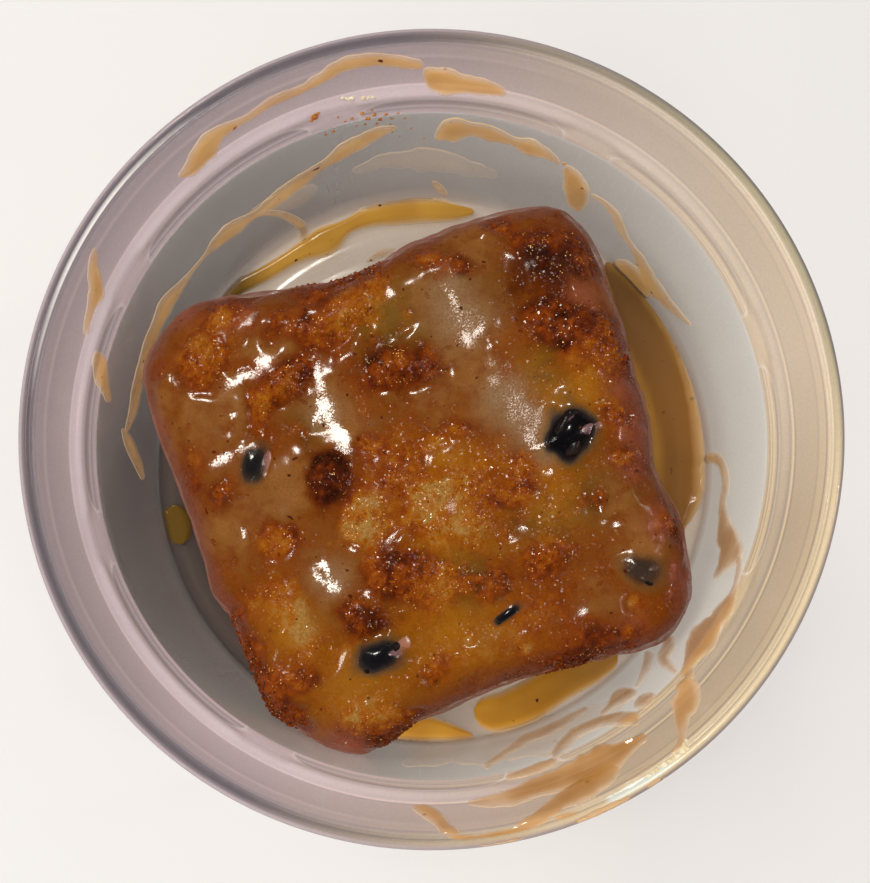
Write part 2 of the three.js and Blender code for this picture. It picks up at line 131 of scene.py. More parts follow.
# Patches where the crust breaks through the glaze: x, y, half length, half width, turn,
# how dark it is baked (0 pale crumb, 0.3 gold, 0.5 orange, 0.75 red-brown, 1 nearly
# black) and how bare it is (0 covered, 1 bare).
PATCHES = (
    (-35.7, 13.1, 4.7, 3.6, 80, 0.5, 1.0), (-33, 19.3, 2.6, 2, 60, 0.65, 0.8),
    (-24.4, 17.6, 3, 1.4, 62, 0.7, 0.8), (-17.7, 16.2, 2.4, 1.5, 0, 0.75, 0.8),
    (-12.8, 19.3, 5.4, 2.2, 50, 0.38, 0.9), (-18.4, 23.3, 3.4, 1.1, 20, 0.6, 0.6),
    (-22.5, 9.5, 5.2, 2.5, 42, 0.8, 1.0), (-26.9, 3.4, 2.6, 1.3, 85, 0.5, 0.8),
    (-8.1, 13.1, 3.6, 2.6, -30, 0.75, 0.7), (-4.5, 11.2, 4.8, 2.2, 8, 0.68, 0.9),
    (-1.3, 14.3, 1.8, 1.2, 60, 0.5, 0.6), (-16.2, -4.8, 3.8, 2.8, 80, 1.25, 0.9),
    (-0.2, 28.6, 2.2, 1.4, 0, 0.65, 0.6), (5, 27.7, 1.6, 1.6, 0, 0.5, 0.7),
    (10.3, 34.5, 2.2, 1.2, 0, 0.5, 0.7), (16.1, 31.9, 4.6, 1.3, 5, 0.55, 0.7),
    (23.6, 29.1, 4.8, 1.8, -50, 0.62, 0.8), (16.1, 27.2, 4.4, 4.2, 0, 1.25, 0.15),
    (20, 18.7, 5.4, 3.3, -15, 0.85, 0.9), (26.1, 15.4, 4.8, 2.2, -72, 0.35, 0.9),
    (30.2, 12.6, 4.4, 1.4, -75, 0.6, 0.6), (28.3, 4.8, 1.6, 1.2, 0, 0.6, 0.7),
    (29.4, -2, 1.9, 1.2, 0, 0.45, 0.7), (21.1, 6.2, 2, 1, 0, 0.25, 0.6),
    (4.5, 2.5, 2.8, 1.1, -10, 0.6, 0.7), (-9.8, -1.2, 2.4, 1.8, -60, 0.6, 0.8),
    (-3.8, -3.7, 3.2, 2.4, 40, 0.58, 1.0), (-0.1, 0.2, 2.8, 1.3, 20, 0.34, 0.8),
    (-1, -7.6, 2.6, 2.1, -30, 0.08, 1.0), (4.8, -6.8, 3.8, 2.4, 0, 0.34, 1.0),
    (-10.9, -12.1, 3.8, 3, 50, 0.05, 1.0), (5.7, -13.2, 3, 2.8, 0, 0.12, 1.0),
    (14.2, -5.4, 3.4, 2, 90, 0.35, 0.9), (10.9, -8.1, 2.8, 2, 0, 0.5, 0.8),
    (0, -12.5, 4, 2.4, 0, 0.42, 0.7), (17.3, -18.3, 4, 2.3, 20, 0.42, 0.9),
    (-6.8, -19.9, 4, 3.2, 0, 0.62, 0.8), (-3.5, -22.5, 2.6, 1.7, 0, 0.45, 0.9),
    (1.5, -21.1, 3.6, 3, 0, 0.28, 0.9), (8.7, -21.1, 4, 2.2, 25, 0.7, 0.6),
    (-32, -7.6, 2.6, 2, 0, 0.75, 0.7), (-23.2, -14.8, 2.9, 2.7, 0, 0.45, 0.9),
    (-23.2, -22.4, 1.5, 1.5, 0, 0.5, 0.7), (-24.8, -37.3, 2.4, 1.7, 0, 0.56, 0.8),
    (-22.6, -40.5, 4, 2, -40, 0.62, 0.9), (-9.5, -42, 4.8, 2, 5, 0.35, 0.9),
    (-6.5, -44.8, 2.8, 1.3, 10, 0.7, 0.9), (-10.7, -26.9, 3.2, 1.9, -38, 0.85, 0.8),
    (-19, -35.6, 2.2, 1.4, 0, 0.45, 0.7), (0.4, -35.3, 1.5, 1.5, 0, 0.5, 0.6),
    (36.9, -13.2, 2.3, 1.4, 90, 0.65, 0.9), (31, -24, 1.4, 1.3, 0, 0.3, 0.7),
    (25.7, -29.4, 2.8, 1.5, 0, 0.7, 0.8), (29.9, -29.1, 2, 1.3, 0, 0.6, 0.7),
    (23.2, -32, 1.5, 1.1, 0, 1.0, 0.8), (25.7, -8.5, 2.4, 1.4, 90, 0.65, 0.6),
    (-28, 17.6, 2.2, 0.5, 75, 0.85, 0.6), (-20, 18.1, 2, 0.5, 65, 0.85, 0.6),
    (-27.5, 5.4, 4, 0.5, -69, 0.85, 0.6), (-21.2, -13.1, 2, 0.5, 90, 0.85, 0.6),
)

# Places where the glaze lies square to the lamp: x, y, half length, half width, turn, how fully
# it does so and how grainy with sugar it is.
SHEENS = (
    (-28.8, 10.6, 4.0, 1.0, 33, 1, 0.3), (-26.4, 12.6, 1.8, 0.9, 0, 1, 0.3),
    (-17.4, 10.4, 4.2, 1.0, -76, 1, 0.2), (-16.6, 5.8, 3.6, 1.5, -80, 1, 0.4),
    (-14.4, 1.6, 4.4, 1.2, -58, 1, 0.4), (-17.8, 4.2, 2.0, 0.7, -105, 1, 0.4),
    (-18.8, 13.6, 1.4, 0.4, 30, 1, 0.1), (-30.5, 4.3, 0.8, 0.7, 0, 1, 0.2),
    (-31.9, -2.3, 3.0, 0.9, 28, 1, 0.3), (-29.2, -0.2, 2.0, 0.5, 60, 1, 0.3),
    (-27.5, 19.4, 1.6, 0.6, 40, 0.8, 0.4), (-16.2, -19.0, 2.6, 0.7, -70, 1, 0.2),
    (-15.2, -22.0, 1.5, 1.3, 0, 1, 0.5), (-17.2, -20.6, 2.0, 0.6, -50, 1, 0.4),
    (-18.2, 20.3, 1.5, 0.4, 25, 1, 0.1), (3.0, 23.0, 3.0, 1.0, -60, 0.8, 0.8),
    (4.8, 19.4, 3.6, 2.2, -60, 0.5, 1.0), (7.4, 17.6, 1.6, 0.8, 60, 1, 0.4),
    (5.6, 16.6, 1.2, 0.7, -60, 1, 0.5), (2.9, 27.0, 1.8, 0.5, -60, 1, 0.1),
    (12.8, 7.0, 5.0, 2.2, -58, 0.42, 1.0), (15.6, 1.2, 2.6, 1.4, -40, 0.56, 0.9),
    (16.2, -0.2, 1.6, 0.7, 15, 1, 0.4), (-9.2, 24.6, 2.2, 0.4, 42, 1, 0.1),
    (-12.4, 27.0, 1.4, 0.3, 30, 1, 0.1), (-13.9, -32.7, 3.0, 0.4, 75, 1, 0.1),
    (-22.6, -28.2, 1.1, 0.5, 60, 1, 0.2), (-23.8, -24.0, 1.6, 0.5, -60, 1, 0.2),
    (-28.8, -13.9, 1.4, 0.45, -60, 1, 0.1), (-19.1, -31.9, 1.5, 0.4, -10, 1, 0.1),
    (36.3, -21.9, 2.6, 0.45, 78, 1, 0.0), (-27.5, -5.6, 1.2, 0.35, 60, 1, 0.0),
    (8, 32.6, 1.4, 0.4, 40, 1, 0.1), (-39.6, 10.6, 3.2, 0.5, -72, 1, 0.0),
    (-37.0, 9.0, 1.2, 0.4, -60, 1, 0.0), (24.4, 0.8, 1.9, 0.3, 82, 1, 0.0),
    (-6.1, -28.8, 1.6, 0.25, 60, 1, 0.0), (-12.8, -45.2, 1.8, 0.3, -18, 1, 0.0),
    (-0.8, -35.1, 1.1, 0.8, 20, 0.7, 0.6), (-4.5, -25.4, 1.6, 0.3, 20, 1, 0.1),
    (30.4, -28.2, 0.8, 0.3, -60, 1, 0.0), (13.8, -28.7, 1.0, 0.35, 50, 1, 0.2),
    (12, -30.7, 1.4, 0.8, 60, 0.7, 0.6), (22, 24.2, 1.9, 0.4, -75, 1, 0.1),
    (27.6, 9.8, 0.9, 0.5, 0, 1, 0.1), (30.2, 4.1, 1.0, 0.6, -20, 1, 0.2),
    (27.2, 3.7, 0.6, 0.4, 0, 1, 0.1), (26.1, -12, 0.6, 0.5, 0, 1, 0.1), (30.9, -1.7, 0.6, 0.4, 0, 1, 0.1),
    (18.2, -4, 0.9, 0.6, 0, 1, 0.3), (-20.8, -12.6, 0.6, 0.4, 60, 1, 0.1),
    (4.4, -1.2, 0.6, 0.3, 30, 1, 0.1), (21.6, -16.6, 0.7, 0.4, 40, 1, 0.1),
    (-12.6, -28.0, 1.0, 0.4, 40, 0.8, 0.4),
)

# Regions of the glaze by their tint: x, y and radius. The `pale` regions are a painted highlight,
# a broad greyish glow, and the `rosy` ones a painted reflection of a rosy wall; the others are the
# glaze's own tints.
GLAZE_ZONES = {
    "gold": ((2.6, -4.2, 6), (18, 11, 4), (4, -12, 8), (4, -28, 9), (-12, -38, 8), (-22, -27, 5),
        (22, 9, 6), (19, -8, 6), (-9, 22, 4), (-34, 14, 4)),
    # painted highlight: a broad greyish glow
    "pale": ((4.6, 20, 5), (2.6, 24, 3), (11.6, 7, 4.2), (15, 2.2, 4), (17, -1, 3), (-16.6, 5, 3),
        (-15.6, -20.5, 3)),
    # painted reflection of a rosy wall on the flanks
    "rosy": ((23.4, 23.4, 2.8), (27.6, 17, 2.2), (29.6, 9, 3), (31.6, 2.4, 3), (30.8, -3.4, 2.4),
        (34.6, -12, 2.6), (38.6, -20, 3), (30.5, -29, 3), (-12.4, -45.4, 4), (-43.6, 3, 2.6),
        (-25.8, 11.6, 2), (-29.4, 19.8, 2.2), (-38.6, 20.4, 2.4)),
    "olive": ((3, 22, 8), (-6, 19, 6), (17.6, 11, 4), (26, -8, 5), (17, -13, 5), (-19, 3, 3), (6, -20, 5)),
    "milk": ((-38.7, 8.5, 5), (-37, 2, 6), (-25.5, 15.6, 5), (-31, 5.4, 6), (-16, 7, 5), (-12, 2, 4),
        (1, 23, 6), (6.3, 15, 6), (9.6, 6.6, 5.6), (17, 0.7, 4), (1.6, 7, 5), (-28, -9, 6), (-32, -15, 5),
        (-15.4, -20, 5), (-20, -5.6, 5), (28, -9, 4), (32.6, -15, 4), (26, -23, 4), (26.4, 22.7, 3.5),
        (6.3, 32, 5), (-14, -46.4, 5), (-29, -31, 4)),
}

# Where the glaze is so thin that the crust's texture shows: x, y, half length, half width, turn.
THIN_GLAZE = (
    (2, -8, 17, 11, -12), (-8, -31, 14, 5, 18), (16, -26, 10, 4, 15), (22, 14, 9, 8, -60),
    (18, 29, 8, 4, -10), (-33, 16, 6, 6, 0), (-14, 20, 8, 3.5, 40), (-24, -27, 4, 10, 20),
    (-5, 12, 7, 3.5, 10),
)

# Stretches of the pudding's edge that the glaze leaves bare: direction and half width.
BARE_EDGES = ((112, 9), (306, 7), (224, 10), (262, 5))

# Raisins: x, y, half length, half width, half thickness, turn and lift over the crust.
RAISINS = {
    "raisin_right": (21.5, 1.7, 4.0, 3.0, 2.4, 62, 0.6),
    "raisin_near": (-8.0, -32.4, 3.7, 2.2, 2.2, 28, 0.0),
    "raisin_corner": (31.9, -19.4, 3.0, 2.2, 2.2, -20, -0.3),
    "raisin_sliver": (11.4, -26.2, 2.4, 0.8, 1.8, 36, -0.5),
    "raisin_left": (-27.6, -3.4, 3.0, 1.7, 1.9, 75, -0.2),
}
RAISIN_COVER = {  # how far the glaze stands over each raisin's top, and how dark it shows there
    "raisin_right": (0.2, 1.25),
    "raisin_near": (0.3, 0.84),
    "raisin_corner": (0.4, 0.56),
    "raisin_sliver": (0.15, 0.9),
    "raisin_left": (0.2, 0.75),
}
RAISIN_BLUNTNESS = 0.8  # under 1 makes the raisins blockier

# ---- sauce on the tub, as image places: x, y and half width in pixels -------------------

ACROSS = 13  # points across a pool or smear
BEAD_PIXELS = 6.9  # image pixels to a millimetre at the rim

POOLS = {  # name: surface height and course
    "sauce_right": (3.5, ((606, 262, 5), (628, 292, 22), (645, 340, 34), (655, 400, 44), (660, 450, 46),
        (662, 500, 42), (668, 530, 26), (680, 548, 10))),
    "sauce_front": (2.8, ((474, 710, 16), (500, 713, 20), (530, 701, 21), (558, 683, 20), (588, 668, 18),
        (618, 655, 10))),
    "sauce_near": (2.5, ((398, 739, 7), (425, 730, 13), (450, 733, 9), (474, 738, 4))),
    "sauce_back": (2.5, ((222, 298, 5), (243, 284, 7), (269, 270, 8), (299, 252, 9), (325, 240, 15),
        (346, 226, 8), (368, 216, 10), (392, 211, 13), (424, 208, 14), (453, 211, 9), (474, 211, 3))),
    "sauce_left": (2.4, ((174, 504, 10), (176, 524, 15), (182, 544, 10))),
}

VEILS = {  # the thinnest films of sauce wiped over the plastic
    "veil_left": ((250, 214, 3), (272, 206, 8), (296, 198, 9), (318, 187, 4)),
    "veil_far": ((352, 172, 3), (384, 161, 7), (420, 160, 11), (462, 166, 9), (498, 176, 4)),
    "veil_front": ((402, 764, 3), (446, 754, 11), (500, 746, 15), (552, 734, 17), (600, 714, 11),
        (624, 700, 3)),
    "veil_right": ((610, 796, 3), (628, 786, 8), (645, 774, 7), (656, 764, 2)),
}

SMEARS = {
    "smear_wall_left": ((126, 432, 2), (132, 415, 4), (136, 395, 5), (140, 372, 5), (147, 349, 6),
        (156, 327, 6), (167, 304, 7), (178, 289, 5), (192, 271, 2), (206, 254, 2), (219, 240, 7),
        (235, 227, 7), (257, 213, 4), (277, 198, 7), (296, 184, 7), (320, 167, 4), (338, 154, 7),
        (357, 142, 8), (380, 131, 6), (397, 127, 2)),
    "smear_wall_branch": ((257, 214, 2), (272, 213, 3), (288, 217, 4), (301, 226, 5), (305, 244, 5)),
    "smear_stalk_far": ((432, 181, 2), (438, 187, 4), (448, 197, 2)),
    "smear_floor_back": ((366, 262, 1), (380, 254, 4), (396, 249, 1)),
    "smear_wall_low": ((122, 428, 2), (129, 444, 5), (138, 465, 4), (143, 480, 2)),
    "smear_wall_far": ((434, 139, 3), (449, 131, 11), (472, 129, 7), (491, 134, 8), (513, 141, 5),
        (530, 147, 9), (549, 156, 5), (560, 164, 2)),
    "smear_drop_far": ((565, 165, 4), (574, 182, 12), (578, 200, 12), (580, 212, 5)),
    "smear_wall_right": ((591, 194, 2), (606, 204, 3), (618, 220, 5), (624, 234, 4), (633, 248, 3),
        (643, 266, 7), (651, 284, 8), (664, 299, 6), (677, 312, 4), (691, 326, 2)),
    "smear_over_pool": ((612, 262, 5), (626, 270, 10), (640, 284, 10), (650, 298, 5)),
    "smear_hook": ((703, 461, 4), (714, 458, 7), (723, 466, 5), (726, 484, 4), (723, 504, 4),
        (724, 520, 7), (728, 538, 13), (730, 552, 12), (722, 568, 6), (714, 579, 2)),
    "smear_hook_tail": ((740, 556, 4), (739, 572, 3), (734, 592, 4), (728, 606, 8), (716, 622, 11),
        (702, 640, 13), (693, 655, 10), (689, 668, 7), (687, 682, 8)),
    "smear_bridge_right": ((690, 676, 6), (688, 690, 12), (685, 705, 13), (682, 718, 9), (682, 732, 5),
        (680, 744, 4), (672, 754, 3)),
    "smear_drip_a": ((649, 650, 5), (646, 666, 5), (641, 678, 3), (636, 688, 1)),
    "smear_drip_b": ((668, 634, 7), (669, 646, 6), (664, 658, 6), (670, 667, 5), (678, 674, 2)),
    "smear_blob_a": ((638, 692, 3), (627, 694, 8), (617, 699, 8), (609, 708, 4), (600, 716, 2)),
    "smear_blob_b": ((656, 694, 3), (645, 700, 7), (634, 708, 4)),
    "smear_floor_front": ((641, 718, 8), (620, 719, 8), (598, 723, 6), (578, 732, 6), (563, 745, 6),
        (553, 758, 3)),
    "smear_floor_front_b": ((588, 708, 2), (570, 718, 4), (548, 730, 5), (525, 740, 5), (503, 755, 4),
        (484, 768, 3)),
    "smear_shoulder_front": ((556, 760, 4), (538, 768, 5), (520, 774, 4), (505, 778, 2)),
    "smear_rim_front": ((647, 735, 4), (630, 745, 8), (612, 757, 14), (590, 767, 16), (565, 778, 13),
        (540, 787, 10), (512, 797, 9), (488, 801, 6), (467, 804, 2)),
    "smear_rim_link": ((618, 762, 8), (600, 780, 12), (580, 790, 12), (560, 804, 9), (540, 819, 9),
        (518, 832, 9), (494, 839, 9), (468, 840, 6), (448, 831, 6), (436, 819, 7), (424, 811, 7),
        (412, 807, 2)),
    "smear_rim_outer": ((552, 816, 5), (575, 818, 7), (598, 816, 8), (616, 808, 7), (628, 800, 3)),
    "smear_rim_far": ((178, 177, 2), (192, 167, 8), (203, 151, 11), (216, 134, 8), (234, 124, 5),
        (248, 117, 4), (273, 101, 5), (299, 90, 5), (318, 80, 6), (340, 66, 7), (365, 60, 7),
        (390, 60, 7), (411, 63, 6), (424, 66, 5)),
    "smear_rim_thick": ((424, 68, 5), (434, 77, 12), (446, 82, 12), (468, 85, 10), (491, 88, 8),
        (507, 93, 4)),
    "smear_rim_left": ((95, 247, 2), (93, 262, 5), (94, 277, 7), (95, 293, 8), (91, 308, 5), (87, 322, 4),
        (86, 335, 3)),
    "smear_shoulder_left": ((96, 351, 4), (100, 364, 8), (101, 379, 7), (106, 394, 4), (109, 403, 2)),
}

DRIPS = (  # beads of sauce on the rim's edge: image place and radius in pixels
    (657, 787, 4.0), (625, 804, 4.0), (614, 812, 6.0), (600, 818, 6.0), (586, 823, 4.0), (514, 845, 2.6),
)

# Bands of froth: image places of both ends, half width, and number of bubbles.
FROTH = ((654, 776, 688, 748, 6, 130), (338, 99, 374, 97, 2, 22))
BUBBLE_SIZES = (1.3, 3.0)  # least and greatest radius in pixels

CRUMBS = (  # image place and radius in pixels
    (314, 116, 3.8), (311, 120, 2.2), (318, 113, 2.0), (362, 113, 2.2), (368, 118, 2.8), (374, 114, 2.4),
    (380, 119, 2.2), (386, 114, 2.0), (392, 118, 1.8), (398, 113, 1.4), (352, 118, 1.8), (345, 121, 1.4),
    (338, 117, 1.2), (405, 118, 1.3), (377, 123, 1.5), (365, 124, 1.4), (390, 124, 1.2), (372, 110, 1.3),
    (333, 131, 1.8), (326, 134, 1.6), (356, 126, 1.1), (400, 136, 1.1), (411, 128, 1.2), (424, 138, 1.1),
    (418, 148, 1.0), (392, 132, 1.1), (234, 127, 2.6), (564, 163, 2.2),
)


# ---- small mathematics ------------------------------------------------------------------

def smoothstep(low, high, value):
    share = np.clip((value - low) / (high - low), 0, 1)
    return share * share * (3 - 2 * share)


def lattice(cell, seed):
    """A repeatable number from 0 to 1 for each whole-number cell (n, 3)."""
    mixed = cell[..., 0] * 374761393 + cell[..., 1] * 668265263 + cell[..., 2] * 1440662683
    mixed = (mixed + seed * 97531) & 0xFFFFFFFF
    mixed = ((mixed ^ (mixed >> 13)) * 1274126177) & 0xFFFFFFFF
    return ((mixed ^ (mixed >> 16)) & 0xFFFFFF) / 0xFFFFFF


def noise(points, size, seed=0):
    """Smooth noise from -1 to 1 whose lumps are about `size` across."""
    scaled = points / size
    cell = np.floor(scaled).astype(np.int64)
    share = scaled - cell
    share = share * share * (3 - 2 * share)
    total = np.zeros(points.shape[:-1])
    for corner in range(8):
        step = np.array([corner & 1, corner >> 1 & 1, corner >> 2 & 1])
        weight = np.prod(np.where(step, share, 1 - share), axis=-1)
        total += weight * lattice(cell + step, seed)
    return 2 * total - 1


def uneven(points, *layers):
    """Noises added up: the strength, lump size and seed of each."""
    return sum(strength * noise(points, size, seed) for strength, size, seed in layers)


def pebbles(points, size, seed=0):
    """Rounded grains about `size` across: 1 at a grain's middle and 0 between grains."""
    scaled = points / size
    cell = np.floor(scaled).astype(np.int64)
    nearest = np.full(points.shape[:-1], 9.0)
    for step in np.ndindex(3, 3, 3):
        other = cell + np.array(step) - 1
        jitter = np.stack([lattice(other, seed + k) for k in range(3)], -1)
        nearest = np.minimum(nearest, ((other + jitter - scaled) ** 2).sum(-1))
    return np.clip(1 - nearest / 0.7, 0, 1)


def in_ellipse(x, y, place_x, place_y, long, wide, turn):
    """Distances along and across a turned ellipse, as shares of its half sizes."""
    angle = math.radians(turn)
    dx, dy = x - place_x, y - place_y
    return ((dx * math.cos(angle) + dy * math.sin(angle)) / long,
            (dy * math.cos(angle) - dx * math.sin(angle)) / wide)


def patch(x, y, *ellipse):
    """1 at a place and fading to 0 over an ellipse round it."""
    along, across = in_ellipse(x, y, *ellipse)
    return np.exp(-((along ** 2 + across ** 2) ** 1.3))


def bearing(x, y):
    return np.degrees(np.arctan2(y, x))


def swell(direction, at, width):
    """1 in one direction and fading to 0 over a width in degrees on both sides."""
    turn = np.mod(direction - at + 180, 360) - 180
    return np.exp(-((turn / width) ** 2))


def unit(vectors):
    return vectors / (np.linalg.norm(vectors, axis=-1)[..., None] + 1e-12)


def on_circle(radius, angle, height):
    """Points at radii, angles in radians and heights."""
    radius, angle, height = np.broadcast_arrays(radius, angle, height)
    return np.stack([radius * np.cos(angle), radius * np.sin(angle), height], -1)


def smoothed(grid, sigma):
    """A grid of heights blurred by `sigma` cells, with its edges held."""
    reach = int(3 * sigma) + 1
    weights = np.exp(-0.5 * (np.arange(-reach, reach + 1) / sigma) ** 2)
    weights /= weights.sum()
    for axis in (0, 1):
        padded = np.pad(grid, [(reach, reach) if k == axis else (0, 0) for k in (0, 1)], "edge")
        grid = sum(w * np.take(padded, np.arange(k, k + grid.shape[axis]), axis)
                   for k, w in enumerate(weights))
    return grid


def spline(points, steps):
    """`steps` even samples of a smooth curve through the points (Catmull-Rom)."""
    given = np.array(points, float)
    ends = np.vstack([2 * given[0] - given[1], given, 2 * given[-1] - given[-2]])
    at = np.linspace(0, len(given) - 1 - 1e-9, steps)
    k = at.astype(int)
    t = (at - k)[:, None]
    a, b, c, d = ends[k], ends[k + 1], ends[k + 2], ends[k + 3]
    return 0.5 * (2 * b + (c - a) * t + (2 * a - 5 * b + 4 * c - d) * t ** 2
                  + (3 * b - a - 3 * c + d) * t ** 3)


# ---- meshes -----------------------------------------------------------------------------

def new_piece(name, vertices, faces, material, values=None, smooth=True):
    """A mesh piece from millimetre vertices, with named values for its material."""
    mesh = bpy.data.meshes.new(name)
    mesh.from_pydata((np.asarray(vertices) * MM).tolist(), [], faces)
    mesh.polygons.foreach_set("use_smooth", [smooth] * len(mesh.polygons))
    for label, numbers in (values or {}).items():
        numbers = np.asarray(numbers, np.float32)
        kind, field = ("FLOAT", "value") if numbers.ndim == 1 else ("FLOAT_VECTOR", "vector")
        mesh.attributes.new(label, kind, "POINT").data.foreach_set(field, numbers.ravel())
    mesh.materials.append(material)
    mesh.update()
    piece = bpy.data.objects.new(name, mesh)
    bpy.context.scene.collection.objects.link(piece)
    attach(piece, ROOT)
    return piece


def grid_faces(rows, columns, closed=False, first=0, flip=False):
    """Quads of a rows x columns grid of points; closed joins its last column to the first."""
    row, column = np.meshgrid(np.arange(rows - 1), np.arange(columns - (not closed)), indexing="ij")
    after = (column + 1) % columns
    quads = np.stack([row * columns + column, row * columns + after,
                      (row + 1) * columns + after, (row + 1) * columns + column], -1)
    quads = quads.reshape(-1, 4) + first
    return (quads[:, ::-1] if flip else quads).tolist()


def border(rows, columns):
    """Pairs of neighbours all the way round the edge of a grid of points."""
    last = rows * columns - 1
    edge = [*range(columns), *range(2 * columns - 1, last, columns), *range(last, last - columns, -1),
            *range(last + 1 - 2 * columns, 0, -columns)]
    return zip(edge, edge[1:] + edge[:1])


def shell_faces(rows, columns):
    """Faces of a thin closed sheet: an upper grid, a lower grid, and the edge between."""
    count = rows * columns
    edge = [[there, here, here + count, there + count] for here, there in border(rows, columns)]
    return grid_faces(rows, columns) + grid_faces(rows, columns, first=count, flip=True) + edge


def facing_out(piece, weld=0.0):
    """Turns all faces of a closed piece outwards, and joins points closer than `weld` mm."""
    edit = bmesh.new()
    edit.from_mesh(piece.data)
    if weld:
        bmesh.ops.remove_doubles(edit, verts=edit.verts, dist=weld * MM)
    if edit.calc_volume(signed=True) < 0:
        bmesh.ops.reverse_faces(edit, faces=edit.faces)
    edit.to_mesh(piece.data)
    edit.free()


def unit_ball(roundness):
    """Points and triangles of a ball."""
    edit = bmesh.new()
    bmesh.ops.create_icosphere(edit, subdivisions=roundness, radius=1.0)
    points = np.array([v.co for v in edit.verts])
    triangles = np.array([[v.index for v in f.verts] for f in edit.faces])
    edit.free()
    return points, triangles


def repeated(triangles, points, copies):
    """Triangles of many copies of one ball in one mesh."""
    first = np.arange(copies)[:, None, None] * len(points)
    return (triangles[None] + first).reshape(-1, 3).tolist()


# ---- tub surface ------------------------------------------------------------------------

def tub_profile():
    """(radius, height, radius inside a window) round the tub's section, inside first."""
    inner, shelf = WALL_TOP
    outer = inner + WALL
    foot, foot_height = WALL_FOOT
    rim, top = RIM_RADIUS, TUB_HEIGHT
    stations = [
        (0, DISC[1]), (20, DISC[1]), DISC, GROOVE, (foot - 1.6, GROOVE[1] - 0.1),
        (foot - 0.4, GROOVE[1] + 0.7), (foot, foot_height), (foot + 0.8, 18), (inner - 0.8, 31),
        (inner, shelf), (inner + 0.4, shelf + 1.2, inner + 0.35), (inner + 0.7, shelf + 2, inner + 1),
        (inner + 1.6, shelf + 4.2, inner + 1.2), (inner + 2.4, shelf + 5.1, inner + 2.3),
        (inner + 3, shelf + 6.2), (rim - 3.6, top - 4.6), (rim - 2.6, top - 1.4),
        (rim - 2.2, top - 0.4), (rim - 1.7, top - 0.8), (rim - 1.2, top - 0.1), (rim - 0.6, top),
        (rim, top - 0.6), (rim, top - 2.4), (rim - 0.6, top - 2.9), (rim - 1.9, top - 2.4),
        (outer + 4.2, top - 6), (outer + 3, shelf + 5.6), (outer + 2.4, shelf + 4.5),
        (outer + 1.6, shelf + 3.6, outer + 1.3), (outer + 0.7, shelf + 1.6, outer + 1),
        (outer, shelf - 0.4), (outer - 0.8, 31), (foot + WALL + 0.8, 18),
        (foot + WALL, foot_height), (foot + 0.3, 1), (foot - 0.8, 0), (GROOVE[0] + 1.6, 0),
        (GROOVE[0] + 0.4, 0.6), (DISC[0], DISC[1] - WALL), (20, DISC[1] - WALL), (0, DISC[1] - WALL),
    ]
    return np.array([(s[0], s[1], s[-1] if len(s) > 2 else s[0]) for s in stations], float)


def rounded_profile(profile, keep=0.8):
    """The section with every corner cut twice, which rounds it by a fraction of its sides."""
    for _ in range(2):
        before, after = profile[:-1], profile[1:]
        cut = np.empty((2 * len(before), 3))
        cut[0::2] = keep * before + (1 - keep) * after
        cut[1::2] = (1 - keep) * before + keep * after
        cut[0], cut[-1] = profile[0], profile[-1]
        profile = cut
    return profile


def window_share(direction):
    """1 inside a stacking window and 0 on the bridges between them."""
    pitch = 360 / WINDOWS
    along = np.mod(direction - BRIDGE_START, pitch)
    from_bridge = np.minimum(along, pitch - along)
    return smoothstep(BRIDGE_ANGLE / 2 - 0.7, BRIDGE_ANGLE / 2 + 0.7, from_bridge)


INSIDE = tub_profile()[:INSIDE_STATIONS]


def wall_radius(height, direction):
    """Inner radius of the tub at a height over its groove."""
    rising = INSIDE[4:]
    plain = np.interp(height, rising[:, 1], rising[:, 0])
    window = np.interp(height, rising[:, 1], rising[:, 2])
    return plain + (window - plain) * window_share(direction)


def floor_height(radius):
    return np.interp(radius, INSIDE[:7, 0], INSIDE[:7, 1])


def image_rays(places):
    """Starting point and directions (n, 3) of the camera's rays through image places."""
    places = np.asarray(places, float)
    seen = np.stack([(places[:, 0] - IMAGE_WIDTH / 2) / FOCAL_PIXELS,
                     (IMAGE_HEIGHT / 2 - places[:, 1]) / FOCAL_PIXELS, -np.ones(len(places))], -1)
    turned = np.array(Euler((math.radians(CAMERA_TILT), 0, 0)).to_matrix())
    return np.array(CAMERA_PLACE), seen @ turned.T


def on_level(places, height):
    """Points at one height under image places."""
    start, rays = image_rays(places)
    return start + rays * ((height - start[2]) / rays[:, 2])[:, None]


def on_tub(places):
    """Points of the tub's inside under image places. Past the rim they stay on the rim."""
    start, rays = image_rays(places)
    heights = np.linspace(TUB_HEIGHT, 1.0, 700)
    found = np.zeros((len(rays), 3))
    for k, ray in enumerate(rays):
        track = start + ray * ((heights - start[2]) / ray[2])[:, None]
        radius = np.hypot(track[:, 0], track[:, 1])
        direction = bearing(track[:, 0], track[:, 1])
        past = (radius >= wall_radius(heights, direction)) | (heights <= floor_height(radius))
        found[k] = track[np.argmax(past)] if past.any() else track[-1]
        over = np.hypot(found[k, 0], found[k, 1]) / (RIM_RADIUS - RIM_INSET)
        if over > 1:
            found[k, :2] /= over
    return found


def tub_normals(points):
    """Directions into the tub from points of its inside surface."""
    x, y, height = points.T
    radius = np.hypot(x, y)
    direction = bearing(x, y)
    step = 0.25
    lean = (wall_radius(height + step, direction) - wall_radius(height - step, direction)) / (2 * step)
    on_wall = (radius > WALL_FOOT[0] - 0.5)[:, None]
    inward = -points[:, :2] / np.maximum(radius, 1e-6)[:, None]
    return unit(np.where(on_wall, np.column_stack([inward, lean]), (0.0, 0.0, 1.0)))


# ---- shader building --------------------------------------------------------------------

BLACK = (0.0, 0.0, 0.0, 1.0)


def colour(red, green, blue):
    """Linear colour of an 8-bit screen colour."""
    linear = [((c / 255 + 0.055) / 1.055) ** 2.4 if c > 10 else c / 255 / 12.92
              for c in (red, green, blue)]
    return (*linear, 1.0)


